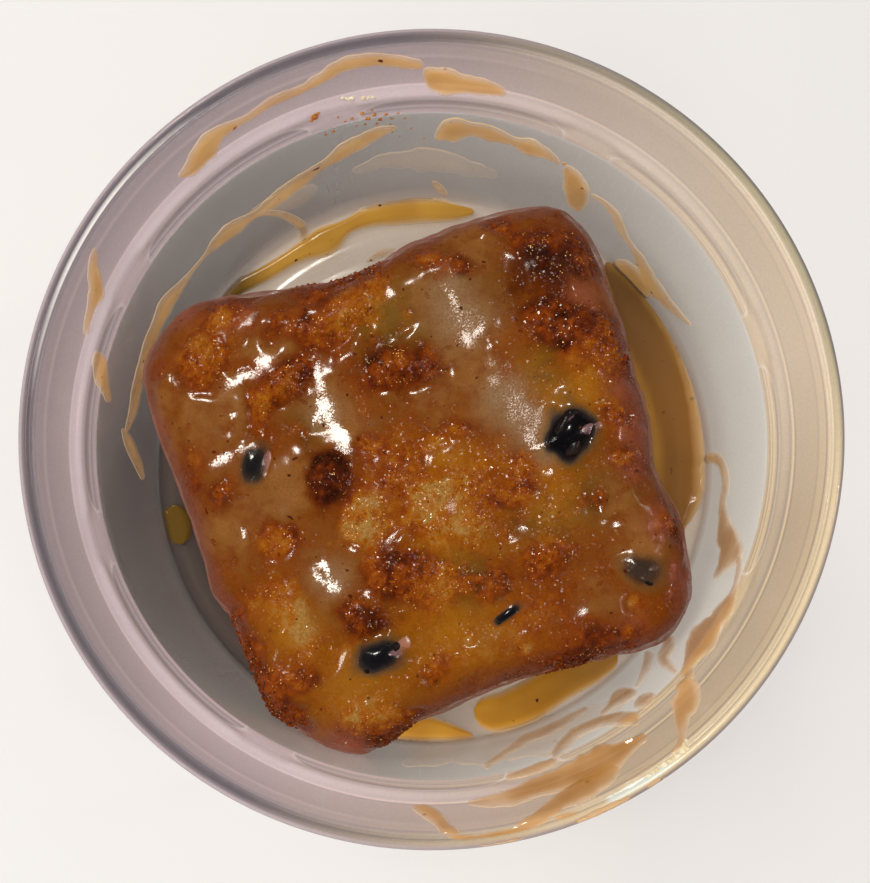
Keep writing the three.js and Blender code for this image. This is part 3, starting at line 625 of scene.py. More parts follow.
class Graph:
    """Builds the nodes of a material, a node group or the world. A colour of three numbers is
    an 8-bit screen colour."""

    def __init__(self, tree):
        self.tree = tree

    def feed(self, node, inputs):
        """Links inputs of a node to other nodes' outputs, or sets them."""
        for label, value in inputs.items():
            socket = node.inputs[label]
            if isinstance(value, bpy.types.NodeSocket):
                self.tree.links.new(value, socket)
            elif socket.type == "RGBA" and len(value) == 3:
                socket.default_value = colour(*value)
            else:
                socket.default_value = value

    def add(self, kind, inputs=None, **settings):
        node = self.tree.nodes.new("ShaderNode" + kind)
        for label, value in settings.items():
            setattr(node, label, value)
        self.feed(node, inputs or {})
        return node

    def maths(self, operation, *values):
        return self.add("Math", dict(enumerate(values)), operation=operation).outputs[0]

    def times(self, first, *others):
        for other in others:
            first = self.maths("MULTIPLY", first, other)
        return first

    def minus(self, first, second):
        return self.maths("SUBTRACT", first, second)

    def larger(self, first, *others):
        for other in others:
            first = self.maths("MAXIMUM", first, other)
        return first

    def distance(self, value, place):
        return self.maths("ABSOLUTE", self.minus(value, place))

    def vectors(self, operation, *values):
        return self.add("VectorMath", dict(enumerate(values)), operation=operation).outputs[0]

    def remap(self, value, low, high, new_low=0.0, new_high=1.0):
        return self.add("MapRange", {"Value": value, "From Min": low, "From Max": high, "To Min": new_low,
                                     "To Max": new_high}, clamp=True).outputs["Result"]

    def mix(self, factor, first, second, mode="MIX"):
        inputs = {0: factor, 6: first, 7: second}
        return self.add("Mix", inputs, data_type="RGBA", blend_type=mode).outputs[2]

    def tinted(self, shade, tint):
        return self.mix(1.0, shade, tint, "MULTIPLY")

    def ramp(self, factor, *stops):
        """Colours at places from 0 to 1 along a factor."""
        node = self.add("ValToRGB", {"Fac": factor})
        elements = node.color_ramp.elements
        while len(elements) < len(stops):
            elements.new(1.0)
        for element, (place, shade) in zip(elements, stops):
            element.position = place
            element.color = shade if len(shade) == 4 else colour(*shade)
        return node.outputs["Color"]

    def place(self):
        """Place on the piece, in metres."""
        return self.add("TexCoord").outputs["Object"]

    def value(self, label, kind="Fac"):
        """A named value of the piece."""
        return self.add("Attribute", attribute_name=label).outputs[kind]

    def use(self, group, **inputs):
        return self.add("Group", inputs, node_tree=group).outputs

    def bump(self, height, distance, strength=1.0):
        return self.add("Bump", {"Height": height, "Distance": distance * MM,
                                 "Strength": strength}).outputs["Normal"]

    def turned_towards_lamp(self, normal, amount):
        """A normal turned by an amount from 0 to 1 until it lies square to the lamp."""
        to_lamp = self.value("square_to_lamp", "Vector")
        mixed = self.add("Mix", {0: amount, 4: normal, 5: to_lamp}, data_type="VECTOR")
        return self.vectors("NORMALIZE", mixed.outputs[1])


def new_group(name, inputs, outputs):
    """A node group with number sockets: its graph, its inputs, and its output node."""
    group = bpy.data.node_groups.new(name, "ShaderNodeTree")
    for label in inputs:
        group.interface.new_socket(name=label, in_out="INPUT", socket_type="NodeSocketFloat")
    for label in outputs:
        group.interface.new_socket(name=label, in_out="OUTPUT", socket_type="NodeSocketFloat")
    given = group.nodes.new("NodeGroupInput").outputs
    return group, Graph(group), given, group.nodes.new("NodeGroupOutput")


def spice_speck_group():
    """Dark spice specks of uneven size and outline, as a mask."""
    group, graph, given, result = new_group("spice specks", ("Scale", "Least"), ("Specks",))
    blots = graph.add("TexNoise", {"Vector": graph.place(), "Scale": given["Scale"], "Detail": 0.0})
    over = graph.minus(blots.outputs["Fac"], given["Least"])
    graph.feed(result, {"Specks": graph.remap(over, 0.0, 0.03)})
    return group


def mottle_group():
    """Uneven cloudiness at two sizes, from 0 to 1."""
    group, graph, given, result = new_group("mottle", ("Scale",), ("Coarse", "Fine"))
    place = graph.place()
    finer = graph.times(given["Scale"], 7.0)
    for label, scale, roughness in (("Coarse", given["Scale"], 0.55), ("Fine", finer, 0.65)):
        cloud = graph.add("TexNoise", {"Vector": place, "Scale": scale, "Detail": 1.0,
                                       "Roughness": roughness})
        graph.feed(result, {label: graph.remap(cloud.outputs["Fac"], 0.3, 0.7)})
    return group


def sugar_facet_group():
    """Height of tiny flat faces, each tilted its own way, and distance from their middles."""
    group, graph, given, result = new_group("sugar facets", ("Scale",), ("Height", "Edge"))
    place = graph.place()
    cells = graph.add("TexVoronoi", {"Vector": place, "Scale": given["Scale"]}).outputs
    from_middle = graph.vectors("SUBTRACT", place, cells["Position"])
    tilt = graph.vectors("SUBTRACT", cells["Color"], (0.5, 0.5, 0.5))
    slope = graph.add("VectorMath", {0: from_middle, 1: tilt}, operation="DOT_PRODUCT")
    height = graph.times(slope.outputs["Value"], given["Scale"])
    graph.feed(result, {"Height": height, "Edge": cells["Distance"]})
    return group


def sugar_sparkle_group():
    """Painted glints: bright points where wet sugar catches the light, gathered in clusters, as a mask."""
    group, graph, given, result = new_group("sugar sparkles", ("Scale", "Clusters"), ("Sparkles",))
    cells = graph.add("TexVoronoi", {"Vector": graph.place(), "Scale": given["Scale"]}).outputs
    chance = graph.add("SeparateColor", {"Color": cells["Color"]}).outputs
    lucky = graph.times(chance["Red"], graph.remap(given["Clusters"], 0.3, 0.8, 0.8, 1.05))
    size = graph.remap(lucky, 0.76, 1.02, 0.06, 0.5)
    inside = graph.minus(size, cells["Distance"])
    brightness = graph.remap(chance["Green"], 0.0, 1.0, 0.2, 1.0)
    graph.feed(result, {"Sparkles": graph.times(graph.remap(inside, 0.0, 0.12), brightness)})
    return group


SPECKS = spice_speck_group()
SPARKLES = sugar_sparkle_group()
MOTTLE = mottle_group()
FACETS = sugar_facet_group()


def new_material(name):
    material = bpy.data.materials.new(name)
    material.use_nodes = True
    material.node_tree.nodes.clear()
    graph = Graph(material.node_tree)
    shader = graph.add("BsdfPrincipled")
    graph.add("OutputMaterial", {"Surface": shader.outputs[0]})
    return material, graph, shader


# ---- materials --------------------------------------------------------------------------

def baked_shade(graph, unevenness, amount=0.14):
    """Colour of crumb and crust by how dark they are baked."""
    varied = graph.maths("MULTIPLY_ADD", unevenness, amount, graph.value("baked"))
    return graph.ramp(graph.remap(varied, amount / 2, 1 + amount / 2),
                      (0.0, (172, 130, 66)), (0.25, (166, 96, 16)), (0.5, (142, 64, 8)),
                      (0.75, (94, 34, 6)), (1.0, (48, 16, 5)))


def with_sparkles(graph, shade, clusters, scale):
    """A base colour with painted glints of wet sugar, which also glow a little through emission."""
    sparkles = graph.use(SPARKLES, Scale=scale, Clusters=clusters)["Sparkles"]
    return {"Base Color": graph.mix(sparkles, shade, (252, 196, 112)),
            "Emission Color": graph.mix(sparkles, BLACK, (255, 200, 116)), "Emission Strength": 0.4}


def seen_from_front(graph, cover):
    """Cover of a thin layer that only its facing side shows."""
    behind = graph.add("NewGeometry").outputs["Backfacing"]
    return graph.times(cover, graph.minus(1.0, behind))


def dimmed_in_gloss(graph, shade, amount):
    """A colour that shows dark and rosy in reflections, as in a dim room with warm walls."""
    in_gloss = graph.add("LightPath").outputs["Is Glossy Ray"]
    return graph.mix(graph.times(in_gloss, amount), shade, (56, 26, 24))


def crust_material():
    """Sugary baked crust and crumb."""
    material, graph, shader = new_material("baked crust and crumb")
    mottle = graph.use(MOTTLE, Scale=420.0)
    facets = graph.use(FACETS, Scale=3000.0)
    # Painted shade: darker towards the edges of the sugar facets, in the gaps between them.
    between = graph.remap(facets["Edge"], 0.2, 0.75, 1.08, 0.78)
    shade = graph.mix(0.8, baked_shade(graph, mottle["Coarse"]), between, "MULTIPLY")
    # Painted glints of wet sugar, in the base colour and as a faint glow.
    graph.feed(shader, with_sparkles(graph, shade, mottle["Coarse"], 3700.0))
    graph.feed(shader, {"Roughness": graph.remap(mottle["Coarse"], 0.2, 0.8, 0.1, 0.26),
                        "Specular IOR Level": 0.4, "Normal": graph.bump(facets["Height"], 0.2)})
    return material


def grain_material():
    """Wet grains of crust."""
    material, graph, shader = new_material("wet crust grains")
    unevenness = graph.use(MOTTLE, Scale=900.0)["Coarse"]
    shade = baked_shade(graph, unevenness, 0.1)
    # Painted glints of wet sugar, in the base colour and as a faint glow.
    graph.feed(shader, with_sparkles(graph, shade, unevenness, 4600.0))
    graph.feed(shader, {"Roughness": 0.12, "Specular IOR Level": 0.4,
                        "Normal": graph.bump(unevenness, 0.03)})
    return material


def glaze_shade(graph, film, mottle, specks, aslant):
    """Colour of the glaze: `gold`, `olive` and `milk` say how far it takes each of those tints;
    `pale` is a painted highlight, a broad greyish glow, and `rosy` a painted reflection of a rosy
    wall; `edge` darkens its steep rim as painted shade, and `raisin` darkens it over them. Where
    it is seen aslant it turns pale rosy, a painted highlight."""
    thick = graph.remap(film, 0.0, 1.4)
    shade = graph.ramp(thick, (0.0, (112, 44, 4)), (0.4, (118, 56, 6)), (1.0, (116, 68, 18)))
    milky = graph.ramp(thick, (0.0, (98, 42, 11)), (0.5, (119, 65, 21)), (1.0, (138, 88, 40)))
    # `pale` and `rosy` paint a highlight and a reflection, `edge` paints shade.
    for label, tint in (("gold", (150, 92, 6)), ("olive", (104, 76, 22)), ("milk", milky),
                        ("pale", (136, 103, 70)), ("edge", (124, 62, 38)), ("rosy", (144, 76, 58))):
        shade = graph.mix(graph.value(label), shade, tint)
    stain = graph.value("raisin")
    dark = graph.ramp(stain, (0.0, (104, 80, 40)), (0.45, (70, 60, 46)), (0.75, (24, 22, 26)),
                      (0.95, (10, 9, 12)))
    shade = graph.mix(graph.remap(stain, 0.1, 0.6), shade, dark)
    shade = graph.tinted(shade, graph.remap(mottle["Fine"], 0.0, 1.0, 0.86, 1.12))
    shade = graph.mix(specks, shade, (76, 30, 8))
    # Painted highlight: a pale rosy rim where the glaze is seen aslant, near its outline.
    return graph.mix(graph.remap(aslant, 0.66, 0.96, 0.0, 0.8), shade, (196, 130, 110))


def glaze_material():
    """Milky caramel glaze: `film` is its thickness in mm, and `sugar` makes it grainy."""
    material, graph, shader = new_material("milky caramel glaze")
    mottle = graph.use(MOTTLE, Scale=480.0)
    specks = graph.use(SPECKS, Scale=1100.0, Least=0.8)["Specks"]
    crumbs = graph.use(SPECKS, Scale=560.0, Least=0.76)["Specks"]
    film = graph.times(graph.value("film"), graph.remap(mottle["Coarse"], 0.0, 1.0, 0.7, 1.3),
                       graph.remap(crumbs, 0.0, 1.0, 1.0, 0.5))
    aslant = graph.add("LayerWeight", {"Blend": 0.5}).outputs["Facing"]
    clear = graph.maths("POWER", 0.16, film)
    cover = graph.larger(graph.remap(clear, 0.12, 1.0, 1.0, 0.0), graph.times(specks, 0.8),
                         graph.remap(graph.value("raisin"), 0.25, 0.65, 0.0, 0.96),
                         graph.remap(aslant, 0.5, 0.8))
    sugar = graph.value("sugar")
    grainy = graph.times(mottle["Fine"], graph.remap(sugar, 0.0, 1.0, 0.2, 1.3))
    ragged = graph.maths("MULTIPLY_ADD", mottle["Fine"], graph.remap(sugar, 0.0, 1.0, 0.3, 0.62),
                         graph.value("sheen"))
    normal = graph.turned_towards_lamp(graph.bump(grainy, 0.02), graph.remap(ragged, 0.26, 1.2))
    graph.feed(shader, {"Base Color": glaze_shade(graph, film, mottle, specks, aslant),
                        "Alpha": seen_from_front(graph, cover), "IOR": 1.5, "Normal": normal,
                        "Roughness": graph.remap(sugar, 0.0, 1.0, 0.14, 0.22)})
    return material


def sauce_shade(graph, depth, mottle, specks, split, on_floor):
    """Colour of the sauce by its depth, which changes from one side of the tub to the other; the far pool
    and the pool at the far left are darkened as painted shade.
    """
    shade = graph.ramp(graph.remap(depth, 0.0, 2.4), (0.0, (242, 214, 174)), (0.05, (224, 182, 124)),
                       (0.2, (208, 158, 80)), (0.42, (214, 156, 60)), (0.62, (206, 146, 46)),
                       (0.86, (146, 94, 26)), (1.0, (132, 82, 20)))
    shade = graph.mix(graph.remap(mottle["Coarse"], 0, 1, 0, 0.42), shade, (168, 106, 28))
    shade = graph.mix(specks, shade, (84, 40, 14))
    right_pool = graph.times(on_floor, graph.remap(split["X"], 0.02, 0.03), 0.5)
    shade = graph.mix(right_pool, shade, (152, 108, 60))
    # Painted shade: the far pool is multiplied darker and cooler.
    far_pool = graph.times(on_floor, graph.remap(split["Y"], 0.01, 0.03))
    shade = graph.mix(far_pool, shade, graph.tinted(shade, (214, 224, 255)))
    near_right = graph.remap(graph.minus(split["X"], split["Y"]), 0.045, 0.06, 0.0, 0.8)
    heaped = graph.maths("MULTIPLY_ADD", mottle["Coarse"], 0.5, depth)
    browner = graph.ramp(heaped, (0.2, (206, 172, 138)), (0.5, (184, 138, 90)), (0.95, (160, 106, 36)))
    shade = graph.mix(graph.times(near_right, graph.minus(1.0, on_floor)), shade, browner)
    shade = graph.mix(graph.times(graph.value("outline"), 0.5), shade, (232, 200, 156))
    # Painted shade: the pool at the far left is darker and olive.
    left_pool = graph.times(on_floor, graph.remap(split["X"], -0.034, -0.028, 1, 0))
    return dimmed_in_gloss(graph, graph.mix(left_pool, shade, (92, 68, 24)), 0.8)


def sauce_material():
    """Caramel sauce on the plastic: `depth` in mm makes it darker and denser, and a painted glow,
    given off as emission, stands in for light coming through it from behind."""
    material, graph, shader = new_material("caramel sauce")
    mottle = graph.use(MOTTLE, Scale=150.0)
    specks = graph.use(SPECKS, Scale=800.0, Least=0.8)["Specks"]
    depth = graph.value("depth")
    outline = graph.value("outline")
    split = graph.add("SeparateXYZ", {"Vector": graph.place()}).outputs
    on_floor = graph.remap(split["Z"], 0.005, 0.006, 1.0, 0.0)
    shade = sauce_shade(graph, depth, mottle, specks, split, on_floor)
    # Painted glow: emission, strongest on the walls and on the left of the floor, weaker on the shoulder
    # and rim, and along the outline.
    lit = graph.larger(graph.remap(split["X"], 0.005, 0.025, 1.0, 0.0), graph.minus(1.2, on_floor))
    painted_glow = graph.times(lit, graph.remap(split["Z"], 0.04, 0.045, 1.0, 0.5),
                              graph.remap(on_floor, 0.0, 1.0, 1.3, 0.8))
    painted_glow = graph.larger(painted_glow, graph.times(outline, 0.4))
    cover = graph.larger(graph.remap(depth, 0.0, 0.3, 0.1, 0.84), graph.remap(depth, 0.4, 0.8),
                         graph.times(outline, 0.6), specks)
    ragged = graph.maths("MULTIPLY_ADD", mottle["Fine"], 0.5, graph.value("sheen"))
    uneven = graph.bump(mottle["Coarse"], 0.05, 0.4)
    graph.feed(shader, {"Base Color": shade, "Roughness": 0.1, "IOR": 1.5,
                        "Emission Color": graph.mix(painted_glow, BLACK, shade), "Emission Strength": 0.36,
                        "Alpha": seen_from_front(graph, cover),
                        "Normal": graph.turned_towards_lamp(uneven, graph.remap(ragged, 0.7, 1.3))})
    return material


def froth_material():
    """Pale bubbles of beaten sauce."""
    material, graph, shader = new_material("sauce froth")
    mottle = graph.use(MOTTLE, Scale=1400.0)
    aslant = graph.add("LayerWeight", {"Blend": 0.5}).outputs["Facing"]
    cover = graph.remap(aslant, 0.1, 0.6, 0.75, 1.0)
    shade = graph.ramp(mottle["Coarse"], (0.0, (232, 212, 160)), (1.0, (255, 246, 214)))
    graph.feed(shader, {"Base Color": shade, "Roughness": 0.12, "Alpha": seen_from_front(graph, cover),
                        "Normal": graph.bump(mottle["Fine"], 0.05, 0.5)})
    return material


def raisin_material():
    material, graph, shader = new_material("raisin skin")
    mottle = graph.use(MOTTLE, Scale=420.0)
    shade = graph.ramp(mottle["Coarse"], (0.0, (9, 7, 8)), (0.7, (20, 15, 16)), (1.0, (40, 28, 24)))
    graph.feed(shader, {"Base Color": shade, "Roughness": graph.remap(mottle["Fine"], 0, 1, 0.25, 0.45),
                        "Normal": graph.bump(mottle["Coarse"], 0.16, 0.7)})
    return material


def crumb_material():
    material, graph, shader = new_material("loose crumb")
    mottle = graph.use(MOTTLE, Scale=900.0)
    shade = graph.ramp(mottle["Coarse"], (0.0, (186, 96, 32)), (1.0, (236, 170, 90)))
    graph.feed(shader, {"Base Color": shade, "Roughness": 0.4,
                        "Normal": graph.bump(mottle["Fine"], 0.2, 0.8)})
    return material


def ring_lightness(graph, radius, rings):
    """Painted lightness of the shoulder and rim by radius in mm, standing in for reflections in the
    plastic.
    """
    inner, outer = rings[0][0], rings[-1][0]
    stops = [((at - inner) / (outer - inner), (light, light, light, 1.0)) for at, light in rings]
    return graph.ramp(graph.remap(radius, inner, outer), *stops)


def scratches_on(graph, angle, height):
    """Thin upright draw marks of uneven length on the wall, and long fine slanting scuffs."""
    place = graph.add("CombineXYZ", {"X": angle, "Y": height}).outputs[0]
    turned = graph.add("Mapping", {"Vector": place, "Scale": (110.0, 7.0, 1.0),
                                   "Rotation": (0.0, 0.0, 0.6)}).outputs[0]
    marks = graph.add("TexNoise", {"W": angle, "Scale": 90.0, "Detail": 0.0}, noise_dimensions="1D")
    broken = graph.add("TexNoise", {"Vector": place, "Scale": 9.0, "Detail": 0.0}, noise_dimensions="2D")
    lines = graph.add("TexNoise", {"Vector": turned, "Scale": 1.0, "Detail": 1.0}, noise_dimensions="2D")
    upright = graph.times(graph.remap(marks.outputs["Fac"], 0.7, 0.8),
                          graph.remap(broken.outputs["Fac"], 0.48, 0.6))
    return graph.larger(upright, graph.remap(lines.outputs["Fac"], 0.66, 0.76, 0.0, 0.8))


def windows_on(graph, angle, radius):
    """Masks of the stacking windows, with round ends, and of the thin line round each."""
    turns = graph.minus(graph.times(angle, WINDOWS / (2 * math.pi)), BRIDGE_START * WINDOWS / 360)
    from_middle = graph.distance(graph.maths("FRACT", turns), 0.5)
    along = graph.maths("POWER", graph.maths("DIVIDE", from_middle, 0.4), 10.0)
    up = graph.maths("POWER", graph.remap(radius, 50.3, 52.6, 0.0, 2.0), 3.0)
    out = graph.maths("ADD", along, up)
    line = graph.remap(graph.distance(out, 1.0), 0.0, 0.24, 1.0, 0.0)
    return graph.remap(out, 0.85, 1.15, 1.0, 0.0), line


def rim_shade(graph, split, angle, radius):
    """Colour of the shoulder and rim. Its rings, the lines round the windows, the paler stretch at
    the far right and the long gleam are painted light standing in for reflections in the clear
    plastic, and its left side is painted darker than its right.
    """
    inside, line = windows_on(graph, angle, radius)
    on_bridge = graph.times(graph.minus(1.0, inside), graph.remap(radius, 51.4, 51.6, 1.0, 0.0))
    sides = []
    for rings, dark, light in ((RINGS_LEFT, (86, 75, 84), (244, 222, 226)),
                               (RINGS_RIGHT, (130, 116, 110), (226, 202, 158))):
        lightness = graph.mix(on_bridge, ring_lightness(graph, radius, rings),
                              (BRIDGE_TINT, BRIDGE_TINT, BRIDGE_TINT, 1.0))
        sides.append(graph.mix(lightness, dark, light))
    # Painted shade on the left side, painted light on the right.
    across = graph.maths("MULTIPLY_ADD", split["Y"], -0.2, split["X"])
    shade = graph.mix(graph.remap(across, -16, 40), *sides)
    # Painted highlight: a thin light line round each window.
    shade = graph.mix(graph.times(line, 0.5), shade, (240, 230, 226))
    # Painted light: a paler stretch on the inner rim at the far right.
    far_right = graph.times(graph.remap(split["X"], 5, 30), graph.remap(split["Y"], -12, 14))
    pale = graph.times(far_right, graph.remap(radius, 57.0, 57.2, 0.34, 0.0))
    shade = graph.mix(pale, shade, (248, 232, 214))
    greenish = graph.times(far_right, graph.remap(radius, 56.9, 57.3, 0.0, 0.75))
    shade = graph.mix(greenish, shade, graph.tinted(shade, (178, 190, 188)))
    wet = graph.times(graph.remap(angle, *WET_STRETCH[:2]), graph.remap(radius, 56.5, 56.8),
                      graph.remap(angle, *WET_STRETCH[2:], 1.0, 0.0),
                      graph.remap(radius, 57.5, 57.7, 0.8, 0.0))
    shade = graph.mix(wet, shade, (206, 214, 206))
    glint = graph.times(graph.remap(graph.distance(radius, GLINT_RADIUS), 0.1, 0.36, 1.0, 0.0),
                        graph.remap(graph.distance(angle, GLINT_ANGLE), 0.1, 0.45, 1.0, 0.0))
    return graph.mix(glint, shade, (250, 244, 240))


def tub_material():
    """Clear thin plastic, with light and shade painted into its colour: round the tub it changes
    from a dim grey brown, painted shade, to a pale warm light, painted light, in place of what
    shows through it; its rings are lighter and darker by turns as painted reflections; and a
    painted glow, strongest at the near right, is given off as emission."""
    material, graph, shader = new_material("clear plastic")
    in_mm = graph.add("VectorMath", {0: graph.place(), "Scale": 1000.0}, operation="SCALE").outputs[0]
    split = graph.add("SeparateXYZ", {"Vector": in_mm}).outputs
    flat = graph.add("CombineXYZ", {"X": split["X"], "Y": split["Y"]}).outputs[0]
    radius = graph.add("VectorMath", {0: flat}, operation="LENGTH").outputs["Value"]
    angle = graph.maths("ARCTAN2", split["Y"], split["X"])
    # Painted shade and light: the wall is dark grey brown on the left and pale on the right.
    side = graph.remap(graph.maths("MULTIPLY_ADD", split["Y"], -0.35, split["X"]), -45, 42)
    wall = graph.mix(side, (86, 66, 57), (238, 236, 226))
    marks = graph.times(scratches_on(graph, angle, graph.times(split["Z"], 0.02)),
                        graph.remap(side, 0.4, 0.8, 0.02, 0.14))
    wall = graph.mix(marks, wall, (252, 248, 236))
    # Painted shade and light on the floor: dark on the left, pale on the right.
    floor_side = graph.remap(graph.maths("MULTIPLY_ADD", split["Y"], 0.5, split["X"]), -44, -12)
    floor = graph.mix(floor_side, (72, 58, 52), (190, 172, 152))
    # Painted shade: darker in the groove round the floor, on its dark side.
    groove = graph.times(graph.remap(graph.distance(radius, GROOVE[0] + 1), 0.5, 3.0, 1.0, 0.0),
                         graph.minus(1.0, floor_side))
    floor = graph.mix(groove, floor, (46, 36, 30))
    on_floor = graph.remap(split["Z"], 3.5, 9.0, 1.0, 0.0)
    on_rim = graph.remap(split["Z"], 44.8, 45.4)
    shade = graph.mix(on_rim, graph.mix(on_floor, wall, floor), rim_shade(graph, split, angle, radius))
    grain = graph.add("TexNoise", {"Vector": in_mm, "Scale": 2.6, "Detail": 0.0}).outputs["Fac"]
    shade = graph.tinted(shade, graph.remap(grain, 0.2, 0.8, 0.965, 1.035))
    shade = dimmed_in_gloss(graph, shade, 0.6)
    # Painted glow: emission, strongest at the near right.
    painted_glow = graph.remap(graph.minus(split["X"], split["Y"]), -20, 70, 0.3, 2.4)
    facing = graph.add("LayerWeight", {"Blend": 0.35}).outputs["Facing"]
    cover = graph.larger(graph.remap(facing, 0.0, 0.64, 0.14, 0.92),
                         graph.times(on_floor, graph.remap(floor_side, 0.0, 1.0, 0.96, 0.8)),
                         graph.times(on_rim, 0.92))
    graph.feed(shader, {"Base Color": shade, "Roughness": 0.12, "IOR": 1.5,
                        "Emission Color": graph.tinted(shade, painted_glow), "Emission Strength": 0.12,
                        "Alpha": seen_from_front(graph, cover)})
    return material


# ---- pieces -----------------------------------------------------------------------------

def make_tub(material):
    columns = 288
    profile = rounded_profile(tub_profile())
    direction = BRIDGE_START + np.arange(columns) * 360 / columns
    plain, height, window = profile[1:-1].T[..., None]
    radius = plain + (window - plain) * window_share(direction)
    rings = on_circle(radius, np.radians(direction), height)
    count = len(rings) * columns
    points = np.vstack([rings.reshape(-1, 3), (0, 0, profile[0, 1]), (0, 0, profile[-1, 1])])
    faces = grid_faces(len(rings), columns, closed=True, flip=True)
    last = count - columns
    for k in range(columns):
        after = (k + 1) % columns
        faces += [[count, k, after], [count + 1, last + after, last + k]]
    tub = new_piece("clear_tub", points, faces, material)
    tub.visible_shadow = False
    tub.visible_diffuse = False
    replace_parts(tub, "tub")


def outline_radius(direction):
    total = np.zeros_like(direction, float)
    for facing, distance in SIDES:
        reach = np.cos(np.radians(direction - facing)) / distance
        total += np.maximum(reach, 0) ** CORNER_POWER
    lumps = sum(out * swell(direction, at, width) for at, width, out in OUTLINE_LUMPS)
    return total ** (-1 / CORNER_POWER) + lumps


def knob_relief(x, y):
    return sum(rise * patch(x, y, *ellipse) for *ellipse, rise in KNOBS)


def plain_top(share):
    over = np.clip(share - SHOULDER, 0, None) / (1 - SHOULDER)
    return TOP - SHOULDER_DROP * (1 - np.sqrt(np.clip(1 - over ** 2, 0, 1)))


def wrapped_grid(top_rings, side_rings, reach=1.0):
    """Plain surface of the pudding as a square grid wrapped over its top and down its
    sides as far as `reach`: points (n, n, 3), directions out of it, share of the way down
    the side, and the grid's spacing in millimetres."""
    last = top_rings + side_rings
    i, j = np.meshgrid(np.arange(-last, last + 1), np.arange(-last, last + 1), indexing="ij")
    ring = np.maximum(np.maximum(abs(i), abs(j)), 1)
    direction = np.interp(np.mod(bearing(i, j) + 45, 360) - 45, (-45, 45, 135, 225, 315), CORNERS)
    q = np.minimum(ring / top_rings, 1)
    arc = np.clip((q - FLAT_SHARE) / (1 - FLAT_SHARE), 0, 1) * math.pi / 2
    share = np.where(q < FLAT_SHARE, q / FLAT_SHARE * SHOULDER, SHOULDER + (1 - SHOULDER) * np.sin(arc))
    share = np.where((i == 0) & (j == 0), 0, share)
    down = np.clip((ring - top_rings) / side_rings, 0, 1) * reach
    edge = TOP - SHOULDER_DROP
    height = np.where(down > 0, edge + (BASE - edge) * down, TOP - SHOULDER_DROP * (1 - np.cos(arc)))
    narrowing = TAPER * np.clip(WIDEST - 1 + down, 0, None) / WIDEST
    foot_round = 0.03 * smoothstep(0.9, 1.0, down)
    share = np.where(down > 0, 1 - narrowing - foot_round, share)
    points = on_circle(share * outline_radius(direction), np.radians(direction), height)
    points = points + (*CENTRE, 0)
    normal = np.cross(np.gradient(points, axis=0), np.gradient(points, axis=1))
    normal *= np.sign(normal[last, last, 2])
    for _ in range(2):
        normal = unit(normal)
        normal = np.stack([smoothed(part, 2.0) for part in np.moveaxis(normal, -1, 0)], -1)
    return points, unit(normal), down, TOP_REACH / top_rings


def square_to_lamp(points):
    """Directions halfway from points to the lamp and to the camera."""
    return unit(unit(np.array(LAMP_PLACE) / MM - points) + unit(np.array(CAMERA_PLACE) - points))


def sheen_shares(points):
    """How squarely the glaze lies to the lamp, and how grainy with sugar it is."""
    sideways = [uneven(points, (0.5, 1.9, seed), (0.25, 0.9, seed + 2)) for seed in (71, 72)]
    x, y = points[..., 0] + sideways[0], points[..., 1] + sideways[1]
    sheen = np.zeros(points.shape[:-1])
    sugar = np.zeros_like(sheen)
    for at_x, at_y, long, wide, turn, fully, grain in SHEENS:
        share = patch(x, y, at_x, at_y, 1.15 * long, 1.25 * wide, turn)
        sheen = np.maximum(sheen, fully * share)
        sugar = np.maximum(sugar, grain * smoothstep(0.02, 0.3, share))
    return sheen * (points[..., 2] > TOP - SHOULDER_DROP), sugar


def over_raisins(x, y, glaze):
    """Glaze heaped over the raisins, the raisins' own heights where they lie, and how dark
    they show through it."""
    skin = np.full_like(x, FAR_BELOW)
    shadow = np.zeros_like(x)
    flat = np.stack([x, y, 0 * x], -1)
    for name, (at_x, at_y, long, wide, thick, turn, lift) in RAISINS.items():
        stands_over, darkness = RAISIN_COVER[name]
        along, aside = in_ellipse(x, y, at_x, at_y, long, wide, turn)
        out = (abs(along) ** 3 + abs(aside) ** 3) ** (2 / 3)
        out = out * (1 + uneven(flat, (0.45, 2.6, 61), (0.1, 1.1, 62)))
        middle = crust_height(at_x, at_y) + lift - TOP
        dome = np.where(out < 1, middle + thick * np.sqrt(np.clip(1 - out, 0, 1)), FAR_BELOW)
        skin = np.maximum(skin, dome)
        peak = middle + thick + stands_over
        heap = peak * np.exp(-0.6 * out) + (1 - np.exp(-0.6 * out)) * (glaze - 0.4)
        glaze = np.where(out < 6, np.maximum(glaze, heap), glaze)
        shadow = np.maximum(shadow, darkness * np.exp(-(0.8 * out) ** 1.8))
    return glaze, skin, np.clip(shadow, 0, 1)


def zone_share(x, y, zones):
    return np.clip(sum(patch(x, y, at_x, at_y, size, size, 0) for at_x, at_y, size in zones), 0, 1)


def softly_over(first, second, blend):
    """The higher of two surfaces, with the crease between them filled."""
    return blend * np.logaddexp(first / blend, second / blend)


